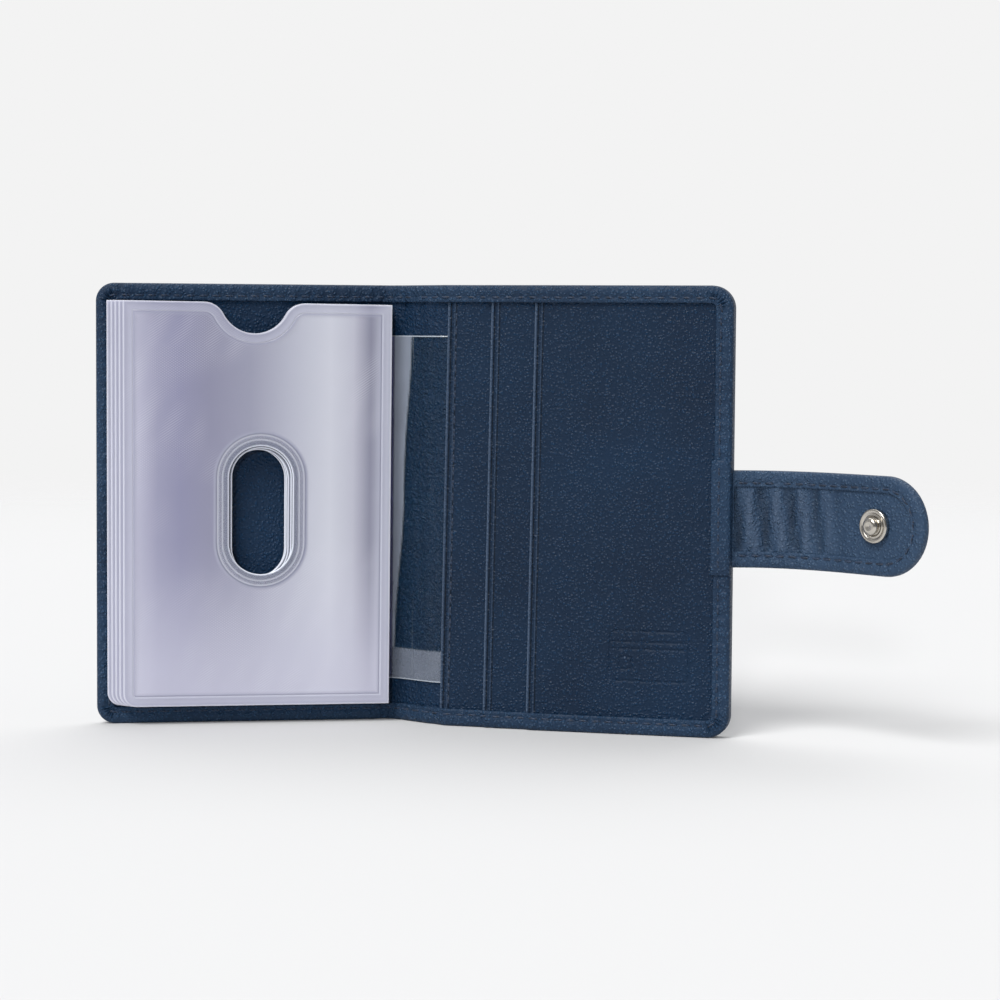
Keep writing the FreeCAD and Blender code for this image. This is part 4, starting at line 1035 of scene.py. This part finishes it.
LEAVES = 5
FILM = 0.3
LEAF_GAP = 0.2
LEAF_LEVEL = 2.7
LEAF_HINGE = -1.4
LEAF_FORE = -66.6
LEAF_SHORTER = 0.9
LEAF_LOW, LEAF_TOP = 4.4, 97.8
LEAF_CORNER = 3.0
NOTCH_X = -33.0
NOTCH_RADIUS = 8.0
NOTCH_DEEP = 7.1
NOTCH_SHOULDER = 5.0
SLOT_X = -31.5
SLOT_Z = 48.8
SLOT_HALF_WIDE, SLOT_HALF_TALL = 6.75, 14.9
SLOT_SHIFT = (0.0, 0.15, -0.45, -0.85, -1.1)       # each leaf's slot was punched a little out of line
SLOT_RISE = (1.05, 0.5, 0.1, 0.45, 0.2)
FIRST_SLOT_WIDER = 0.6
WELD_AT = 2.3                  # middle of the weld, from the edge
HINGE_LEAN_TOP, HINGE_LEAN_LOW = 0.32, -0.15       # the stack hangs a little out of square
TOP_LEAN_FORE, TOP_LEAN_HINGE = 0.2, -0.45

# Frosted PVC film, embossed with a fine diamond pattern so that cards don't stick: milky, grey lilac and
# glossy.
# Two embossed films on each other give a moire of lines and diamonds. The welds are melted clear,
# with raised white lines on both sides, and the stack is whiter where its free edges are pressed together.
# Light and dark bands across each leaf are painted reflections, and the colour is paler towards the bottom.
DIAMOND = 0.47                 # mm between the pattern's lines
FIELD_FROM, FIELD_TO = -67.0, -1.0     # along the opened wallet, where the leaf's painted reflection bands run, light and dark
WELD_WIDE = 3.4                # how far in from a leaf's edge its weld lines show
RING_WIDE = 3.8                # and how far out from its slot
frosted, tree = new_material("frosted_pvc")
spot = add(tree, "ShaderNodeTexCoord").outputs["Object"]
gratings = []
for slant, wider in ((-55, 1.0), (55, 1.0), (-57.5, 1.07)):
    turned = add(tree, "ShaderNodeMapping", {"Vector": spot, "Rotation": (0, math.radians(slant), 0)})
    gratings.append(add(tree, "ShaderNodeTexWave", {
        "Vector": turned.outputs[0], "Scale": 2 * math.pi / (20 * DIAMOND * wider * MM)}).outputs["Fac"])
crossed = add(tree, "ShaderNodeMath", {0: gratings[0], 1: gratings[1]}, operation="MULTIPLY").outputs[0]
sloped = add(tree, "ShaderNodeMath", {0: gratings[0], 1: gratings[2]}, operation="MULTIPLY").outputs[0]
patches = add(tree, "ShaderNodeTexNoise", {"Vector": spot, "Scale": 1000 / 15.0, "Detail": 1.0})
which = add(tree, "ShaderNodeMapRange",
            {"Value": patches.outputs["Fac"], "From Min": 0.44, "From Max": 0.56},
            interpolation_type="SMOOTHSTEP").outputs[0]
weave = add(tree, "ShaderNodeMix", {0: which, 2: crossed, 3: sloped}, data_type="FLOAT").outputs[0]
fainter = add(tree, "ShaderNodeTexNoise", {"Vector": spot, "Scale": 1000 / 24.0, "Detail": 1.0})
strength = add(tree, "ShaderNodeMapRange",
               {"Value": fainter.outputs["Fac"], "From Min": 0.36, "From Max": 0.60},
               interpolation_type="SMOOTHSTEP").outputs[0]
weave = add(tree, "ShaderNodeMath", {0: weave, 1: strength}, operation="MULTIPLY").outputs[0]

edge_mm = add(tree, "ShaderNodeAttribute", attribute_name="edge_mm").outputs["Fac"]
hole_mm = add(tree, "ShaderNodeAttribute", attribute_name="hole_mm").outputs["Fac"]
along_mm = add(tree, "ShaderNodeAttribute", attribute_name="along_mm").outputs["Fac"]
up_mm = add(tree, "ShaderNodeAttribute", attribute_name="up_mm").outputs["Fac"]
# Painted reflections: light and dark bands across the leaf, and paler towards the bottom.
across = add(tree, "ShaderNodeMapRange",
             {"Value": along_mm, "From Min": FIELD_FROM, "From Max": FIELD_TO}).outputs[0]
reflection_bands = add(tree, "ShaderNodeValToRGB", {"Fac": across}, stops=[
    (0.0, "#d6d7e6"), (0.10, "#c6c6da"), (0.18, "#a6a6c0"), (0.26, "#9999b6"), (0.36, "#9a9ab2"),
    (0.50, "#a6a7bb"), (0.64, "#c2c4d3"), (0.78, "#d8dae5"), (0.86, "#c8c9d7"), (0.92, "#9394a8"),
    (0.955, "#b6b8c8"), (1.0, "#e0e3ec"),
]).outputs["Color"]
low_down = add(tree, "ShaderNodeMapRange", {"Value": up_mm, "From Min": 46.0, "From Max": 4.0},
               interpolation_type="SMOOTHSTEP").outputs[0]
faded = add(tree, "ShaderNodeMath", {0: low_down, 1: 0.78}, operation="MULTIPLY").outputs[0]
reflections_paler_low = add(tree, "ShaderNodeMix", {0: faded, 6: reflection_bands, 7: colour("#d2d2e4")}, data_type="RGBA").outputs[2]
woven = add(tree, "ShaderNodeMath", {0: weave, 1: 0.36}, operation="MULTIPLY").outputs[0]
field = add(tree, "ShaderNodeMix", {0: woven, 6: reflections_paler_low, 7: colour("#e6e7f2")}, data_type="RGBA").outputs[2]
at_edge = add(tree, "ShaderNodeMapRange",
              {"Value": edge_mm, "From Min": 0.0, "From Max": WELD_WIDE}).outputs[0]
edge_lines = add(tree, "ShaderNodeValToRGB", {"Fac": at_edge}, stops=[
    (0.0, "#e4e6f2"), (0.08, "#d6d8e6"), (0.13, "#a4a6bc"), (0.30, "#b6b8cb"), (0.56, "#bcbed1"),
    (0.62, "#cdcfdf"), (0.67, "#c8cadb"), (0.72, "#9294ab"), (0.80, "#adafc3"),
]).outputs["Color"]
near_edge = add(tree, "ShaderNodeMapRange", {"Value": edge_mm, "From Min": WELD_WIDE, "From Max": 2.4},
                interpolation_type="SMOOTHSTEP").outputs[0]
near_edge = add(tree, "ShaderNodeMath", {0: near_edge, 1: 0.6}, operation="MULTIPLY").outputs[0]
whole = add(tree, "ShaderNodeMix", {0: near_edge, 6: field, 7: edge_lines}, data_type="RGBA").outputs[2]
at_hole = add(tree, "ShaderNodeMapRange",
              {"Value": hole_mm, "From Min": 0.0, "From Max": RING_WIDE}).outputs[0]
hole_lines = add(tree, "ShaderNodeValToRGB", {"Fac": at_hole}, stops=[
    (0.0, "#e2e6f0"), (0.07, "#c8ccda"), (0.12, "#8b90a4"), (0.30, "#9498ab"), (0.40, "#d3d6e2"),
    (0.46, "#9da0b3"), (0.60, "#abaec0"), (0.68, "#d6d8e5"), (0.75, "#84879c"), (0.84, "#adafc2"),
]).outputs["Color"]
near_hole = add(tree, "ShaderNodeMapRange", {"Value": hole_mm, "From Min": RING_WIDE, "From Max": 3.1},
                interpolation_type="SMOOTHSTEP").outputs[0]
whole = add(tree, "ShaderNodeMix", {0: near_hole, 6: whole, 7: hole_lines}, data_type="RGBA").outputs[2]
clear_ring = add(tree, "ShaderNodeMapRange", {"Value": hole_mm, "From Min": 3.0, "From Max": 2.2},
                 interpolation_type="SMOOTHSTEP").outputs[0]
white_rim = add(tree, "ShaderNodeMapRange", {"Value": hole_mm, "From Min": 0.30, "From Max": 0.12},
                interpolation_type="SMOOTHSTEP").outputs[0]
solid = add(tree, "ShaderNodeMapRange", {"Value": clear_ring, "To Min": 0.64, "To Max": 0.44}).outputs[0]
cover_up = add(tree, "ShaderNodeMath", {0: solid, 1: white_rim}, operation="MAXIMUM").outputs[0]
texture = add(tree, "ShaderNodeBump", {"Height": weave, "Strength": 0.3, "Distance": 0.00005})
film = add(tree, "ShaderNodeBsdfPrincipled", {
    "Base Color": whole, "Roughness": 0.24, "IOR": 1.53, "Alpha": cover_up,
    "Normal": texture.outputs[0], "Coat Weight": 0.2, "Coat Roughness": 0.1})
add(tree, "ShaderNodeOutputMaterial", {"Surface": film.outputs[0]})


def leaf_line(inset, fore):
    """Outline of a leaf with its thumb notch, drawn in by an inset."""
    left, right = fore + inset, LEAF_HINGE - inset
    low, high = LEAF_LOW + inset, LEAF_TOP - inset
    corner = max(LEAF_CORNER - inset, HAIR)
    radius = NOTCH_RADIUS + inset
    shoulder = max(NOTCH_SHOULDER - inset, HAIR)
    centre_z = LEAF_TOP - NOTCH_DEEP + NOTCH_RADIUS
    drop = centre_z - high + shoulder
    reach = math.sqrt((radius + shoulder) ** 2 - drop ** 2)
    lean = math.atan2(drop, reach)
    points = []

    def run(a, b, count):
        points.extend([(a[0] + (b[0] - a[0]) * k / count, a[1] + (b[1] - a[1]) * k / count)
                       for k in range(count)])

    def arc(cx, cz, r, first, last, count):
        points.extend([(cx + r * math.cos(first + (last - first) * k / count),
                        cz + r * math.sin(first + (last - first) * k / count)) for k in range(count)])

    arc(left + corner, low + corner, corner, math.pi, 1.5 * math.pi, 10)
    run((left + corner, low), (right, low), 44)
    run((right, low), (right, high), 62)
    run((right, high), (NOTCH_X + reach, high), 20)
    arc(NOTCH_X + reach, high - shoulder, shoulder, math.pi / 2, math.pi - lean, 8)
    arc(NOTCH_X, centre_z, radius, -lean, -math.pi + lean, 40)
    arc(NOTCH_X - reach, high - shoulder, shoulder, lean, math.pi / 2, 8)
    run((NOTCH_X - reach, high), (left, high), 18)
    run((left, high), (left, low + corner), 60)
    return np.array(points)


def slot_line(inset, shift, rise, wider):
    """Outline of the push slot, grown by an inset."""
    box = (SLOT_X + shift - SLOT_HALF_WIDE - wider, SLOT_X + shift + SLOT_HALF_WIDE + wider,
           SLOT_Z + rise - SLOT_HALF_TALL, SLOT_Z + rise + SLOT_HALF_TALL)
    grown = (box[0] - inset, box[1] + inset, box[2] - inset, box[3] + inset)
    radius = SLOT_HALF_WIDE + wider + inset
    angles = np.radians(np.arange(0, 180, 7.5))
    top_z, low_z = grown[3] - radius, grown[2] + radius
    centre = (grown[0] + grown[1]) / 2
    over = [(centre + radius * math.cos(a), top_z + radius * math.sin(a)) for a in angles]
    left_run = [(grown[0], top_z + (low_z - top_z) * k / 16) for k in range(16)]
    under = [(centre - radius * math.cos(a), low_z - radius * math.sin(a)) for a in angles]
    right_run = [(grown[1], low_z + (top_z - low_z) * k / 16) for k in range(16)]
    return np.array(over + left_run + under + right_run)


def hang(x, z, level):
    """The stack sits a little out of square: the hinge leans and its top corner sags."""
    u = (x - LEAF_FORE) / (LEAF_HINGE - LEAF_FORE)
    v = (z - LEAF_LOW) / (LEAF_TOP - LEAF_LOW)
    x = x + u * (HINGE_LEAN_TOP * v + HINGE_LEAN_LOW * (1 - v))
    z = z + v * (TOP_LEAN_FORE * (1 - u) + TOP_LEAN_HINGE * u)
    return on_leaf_plane(x, z, level)


def on_leaf_plane(x, z, level):
    """The left cover's flat plane, which the leaves lie on up to their hinge."""
    heading = math.radians(LEFT_HEADING)
    crease = joint_at["crease_left"]
    east = x * math.cos(heading) + level * math.sin(heading)
    north = x * math.sin(heading) - level * math.cos(heading)
    return np.stack([crease.x + east * MM, crease.y + north * MM, z * MM], -1)


def film_wave(leaf):
    """Slight waves of a film, clear of its neighbours."""
    reach = 0.10 if leaf == 1 else 0.03

    def level(x, z):
        broad = np.sin(x * 0.21 + leaf) * np.sin(z * 0.09 + 2.0 * leaf)
        return reach * (broad + 0.4 * np.sin(x * 0.45 + z * 0.05))
    return level


for leaf in range(1, LEAVES + 1):
    below = LEAVES - leaf
    fore = LEAF_FORE + below * LEAF_SHORTER
    for side, lift in (("back", 0.0), ("front", FILM)):
        foot = LEAF_LEVEL + below * (2 * FILM + LEAF_GAP) + lift
        top = foot + FILM
        shows = side == "front"
        bead = 0.09 if shows else 0.0
        wave = film_wave(leaf) if shows else (lambda x, z: 0.0 * x)
        rim_steps = [(0.25, foot + 0.02), (0.0, foot + 0.08), (0.0, top - 0.08), (0.12, top)]
        leaf_steps = [(3.6, foot + 0.02), *rim_steps,
                      (0.5, top + 0.3 * bead), (0.95, top), (1.6, top), (WELD_AT - 0.45, top + bead),
                      (WELD_AT - 0.22, top + bead), (WELD_AT, top - 0.5 * bead), (WELD_AT + 0.22, top + bead),
                      (WELD_AT + 0.45, top + bead), (3.3, top), (3.9, top)]
        slot_steps = [(4.0, foot + 0.02), *rim_steps,
                      (0.45, top + 0.5 * bead), (0.8, top), (1.5, top), (2.0, top + bead), (2.3, top + bead),
                      (2.55, top - 0.4 * bead), (2.8, top + bead), (3.1, top + bead), (3.5, top), (4.0, top)]
        slot = (SLOT_SHIFT[leaf - 1], SLOT_RISE[leaf - 1], FIRST_SLOT_WIDER if leaf == 1 else 0.0)
        film_piece = make_sheet(
            f"sleeve_{leaf}_{side}", lambda inset, fore=fore: leaf_line(inset, fore), leaf_steps,
            lattice((LEAF_FORE, LEAF_HINGE, LEAF_LOW, LEAF_TOP), 2.4), hang, frosted,
            holes=[(lambda inset, slot=slot: slot_line(inset, *slot), slot_steps)],
            relief=wave)
        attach(film_piece, f"leaf_{leaf}")
        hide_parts(f"leaf_{leaf}_{side}")

# ---- clear sheet ----------------------------------------------------------------------------------------
# The leaves hang on a sheet of clear PVC. It comes out from under their hinge, bends over the spine and is
# pushed under the first pocket on the right and behind the lining on the left. It isn't glued to the spine,
# so it stands off and shines.

SHEET_LOW, SHEET_TOP = 9.8, 90.3
SHEET_FILM = 0.22
SHEET_FROM, SHEET_TO = -2.2, MOUTHS[0] + 1.6
# Its level under the hinge, on the spine and under the pocket
SHEET_OVER, SHEET_ON_SPINE, SHEET_UNDER = 1.2, 0.84, 0.70

# Clear PVC: glossy and faintly green. A band beside the hinge picks up the grey of the leaves, and it is
# milky at its lower hem and bright at its cut edges. A thin bluish strip along the hinge is painted shade,
# for the leaves' hinge.
clear, tree = new_material("clear_pvc")
edge_mm = add(tree, "ShaderNodeAttribute", attribute_name="edge_mm").outputs["Fac"]
on_shelf = add(tree, "ShaderNodeAttribute", attribute_name="shelf").outputs["Fac"]
painted_hinge_shade = add(tree, "ShaderNodeAttribute", attribute_name="hinge").outputs["Fac"]
up_mm = add(tree, "ShaderNodeAttribute", attribute_name="up_mm").outputs["Fac"]
spot = add(tree, "ShaderNodeTexCoord").outputs["Object"]
smear = add(tree, "ShaderNodeTexNoise", {"Vector": spot, "Scale": 1000 / 18.0, "Detail": 2.0})
wavy = add(tree, "ShaderNodeMapRange", {"Value": smear.outputs["Fac"], "From Min": 0.3, "From Max": 0.7,
                                        "To Min": 0.75, "To Max": 1.15}).outputs[0]
hem = add(tree, "ShaderNodeMapRange",
          {"Value": up_mm, "From Min": SHEET_LOW + 7.6, "From Max": SHEET_LOW + 6.9},
          interpolation_type="SMOOTHSTEP").outputs[0]
rim_light = add(tree, "ShaderNodeMapRange", {"Value": edge_mm, "From Min": 0.42, "From Max": 0.05},
                interpolation_type="SMOOTHSTEP").outputs[0]
grey = add(tree, "ShaderNodeMath", {0: on_shelf, 1: hem}, operation="MAXIMUM").outputs[0]
hazy = add(tree, "ShaderNodeMath", {0: grey, 1: wavy}, operation="MULTIPLY").outputs[0]
haze = add(tree, "ShaderNodeMapRange", {"Value": hazy, "To Min": 0.03, "To Max": 0.62}).outputs[0]
thin_hem = add(tree, "ShaderNodeMapRange", {"Value": hem, "To Min": 1.0, "To Max": 0.42}).outputs[0]
haze = add(tree, "ShaderNodeMath", {0: haze, 1: thin_hem}, operation="MULTIPLY").outputs[0]
body = add(tree, "ShaderNodeMath", {0: haze, 1: rim_light}, operation="MAXIMUM").outputs[0]
tints = add(tree, "ShaderNodeMix", {0: grey, 6: colour("#2f4348"), 7: colour("#949cab")},
            data_type="RGBA").outputs[2]
# Painted shade: a bluish strip along the shadow side of the leaves' hinge.
tints = add(tree, "ShaderNodeMix", {0: painted_hinge_shade, 6: tints, 7: colour("#6f6fa6")},
            data_type="RGBA").outputs[2]
tints = add(tree, "ShaderNodeMix", {0: rim_light, 6: tints, 7: colour("#b4bcc6")},
            data_type="RGBA").outputs[2]
glassy = add(tree, "ShaderNodeBsdfPrincipled", {
    "Base Color": tints, "Roughness": 0.08, "IOR": 1.53, "Alpha": body, "Coat Weight": 0.15,
    "Coat Roughness": 0.04})
add(tree, "ShaderNodeOutputMaterial", {"Surface": glassy.outputs[0]})


def shelf_edge(z):
    """Where the grey band ends, along the opened wallet."""
    part = (z - SHEET_LOW) / (SHEET_TOP - SHEET_LOW)
    return 0.4 + 6.3 * np.clip(part, 0, 1) ** 0.8 + 0.3 * np.sin(z * 0.17)


def hinge_edge(z):
    part = (z - SHEET_LOW) / (SHEET_TOP - SHEET_LOW)
    return LEAF_HINGE + 0.4 * part + 1.9


def mark_shelf(x, z):
    return ease(0.25, -0.25, x - shelf_edge(z))


def mark_hinge_shade(x, z):
    return ease(0.3, -0.3, x - hinge_edge(z))


def sheet_level(x, z):
    """From the hinge it drops onto the spine, and rises in low waves before it goes under the pocket."""
    wave = 0.3 * (1 + np.sin(z * 0.16 + x * 0.3)) * ease(7.0, 9.0, x) * (1 - ease(12.0, 14.5, x))
    drop = (SHEET_OVER - SHEET_ON_SPINE) * ease(0.8, -2.2, x)
    return SHEET_ON_SPINE + drop + (SHEET_UNDER - SHEET_ON_SPINE) * ease(14, 16.5, x) + wave


for half, ends, open_side, crease, reach, one, other in (
        ("left", (SHEET_FROM, MID_SPINE), "right", 0.0, FOLD_LEFT, "left_cover", "spine"),
        ("right", (MID_SPINE, SHEET_TO), "left", SPINE, FOLD_RIGHT, "spine", "right_cover")):
    box = (*ends, SHEET_LOW, SHEET_TOP)
    sheet_steps = [(0.4, sheet_level), (0.05, sheet_level), (0.0, lambda x, z: sheet_level(x, z) + 0.05),
                   (0.0, lambda x, z: sheet_level(x, z) + SHEET_FILM - 0.05),
                   (0.05, lambda x, z: sheet_level(x, z) + SHEET_FILM),
                   (0.4, lambda x, z: sheet_level(x, z) + SHEET_FILM)]
    clear_sheet = make_sheet(
        f"clear_sheet_{half}",
        lambda inset, box=box, side=open_side: edge_line(inset, box, (0, 0, 0, 0), 0.6, side),
        sheet_steps, lattice(box, 0.45), on_wallet, clear, open_x=MID_SPINE,
        marks={"shelf": mark_shelf, "hinge": mark_hinge_shade})
    fold_at(clear_sheet)
    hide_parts("insert_flap")

# ---- hidden layers --------------------------------------------------------------------------------------
# Grey board stiffens both covers. A foil-faced film on each board blocks card readers. The clear sheet's two
# tongues run in between the layers. They show only at cut edges.

# Aluminium foil rolled onto a plastic film: bright metal, slightly creased.
foil, tree = new_material("aluminium_foil_film")
spot = add(tree, "ShaderNodeTexCoord").outputs["Object"]
rolled = add(tree, "ShaderNodeTexNoise", {"Vector": spot, "Scale": 1000 / 1.6, "Detail": 3.0})
creased = add(tree, "ShaderNodeBump", {"Height": rolled.outputs["Fac"], "Strength": 0.4, "Distance": 0.0001})
bright = add(tree, "ShaderNodeBsdfPrincipled", {"Base Color": colour("#d9dadd"), "Metallic": 1.0,
                                                "Roughness": 0.28, "Normal": creased.outputs[0]})
add(tree, "ShaderNodeOutputMaterial", {"Surface": bright.outputs[0]})

INNER = 1.0                    # how far inside the wallet's edge the layers stop
BARE_LEFT, BARE_RIGHT = -1.9, SPINE + 2.8      # the folds are left free of them
TONGUE_LEFT, TONGUE_RIGHT = -43.8, 58.3        # how far the tongues reach
left_field = (-PANEL + INNER, BARE_LEFT, INNER, HEIGHT - INNER)
right_field = (BARE_RIGHT, SPREAD - INNER, INNER, HEIGHT - INNER)
left_tongue = (TONGUE_LEFT, BARE_LEFT, SHEET_LOW, SHEET_TOP)
right_tongue = (BARE_RIGHT, TONGUE_RIGHT, SHEET_LOW, SHEET_TOP)
LAYERS = (                     # name, node, slot, box, lower and upper level, material
    ("stiff_board_left", "board_left", "stiffener", left_field, (0.02, 0.48), board),
    ("shield_left", "shield_film_left", "shield_film", left_field, (0.51, 0.60), foil),
    ("sheet_tongue_left", "insert_tongue_left", "clear_sheet", left_tongue, (0.66, 0.90), clear),
    ("stiff_board_right", "board_right", "stiffener", right_field, (0.02, 0.48), board),
    ("shield_right", "shield_film_right", "shield_film", right_field, (0.51, 0.60), foil),
    ("sheet_tongue_right", "insert_tongue_right", "clear_sheet", right_tongue, (0.66, 0.88), clear),
)
for name, node, slot, box, (floor_level, top_level), material in LAYERS:
    at_left = name.endswith("left")
    rounding = (3.2, 0, 0, 3.2) if at_left else (0, 4.2, 4.2, 0)
    layer = make_sheet(name, lambda inset, box=box, rounding=rounding: edge_line(inset, box, rounding, 2.0),
                       [(0.3, floor_level), (0.0, floor_level), (0.0, top_level), (0.3, top_level)],
                       lattice(box, 1.5), on_wallet, material)
    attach(layer, "left_cover" if at_left else "right_cover")
    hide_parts(node)
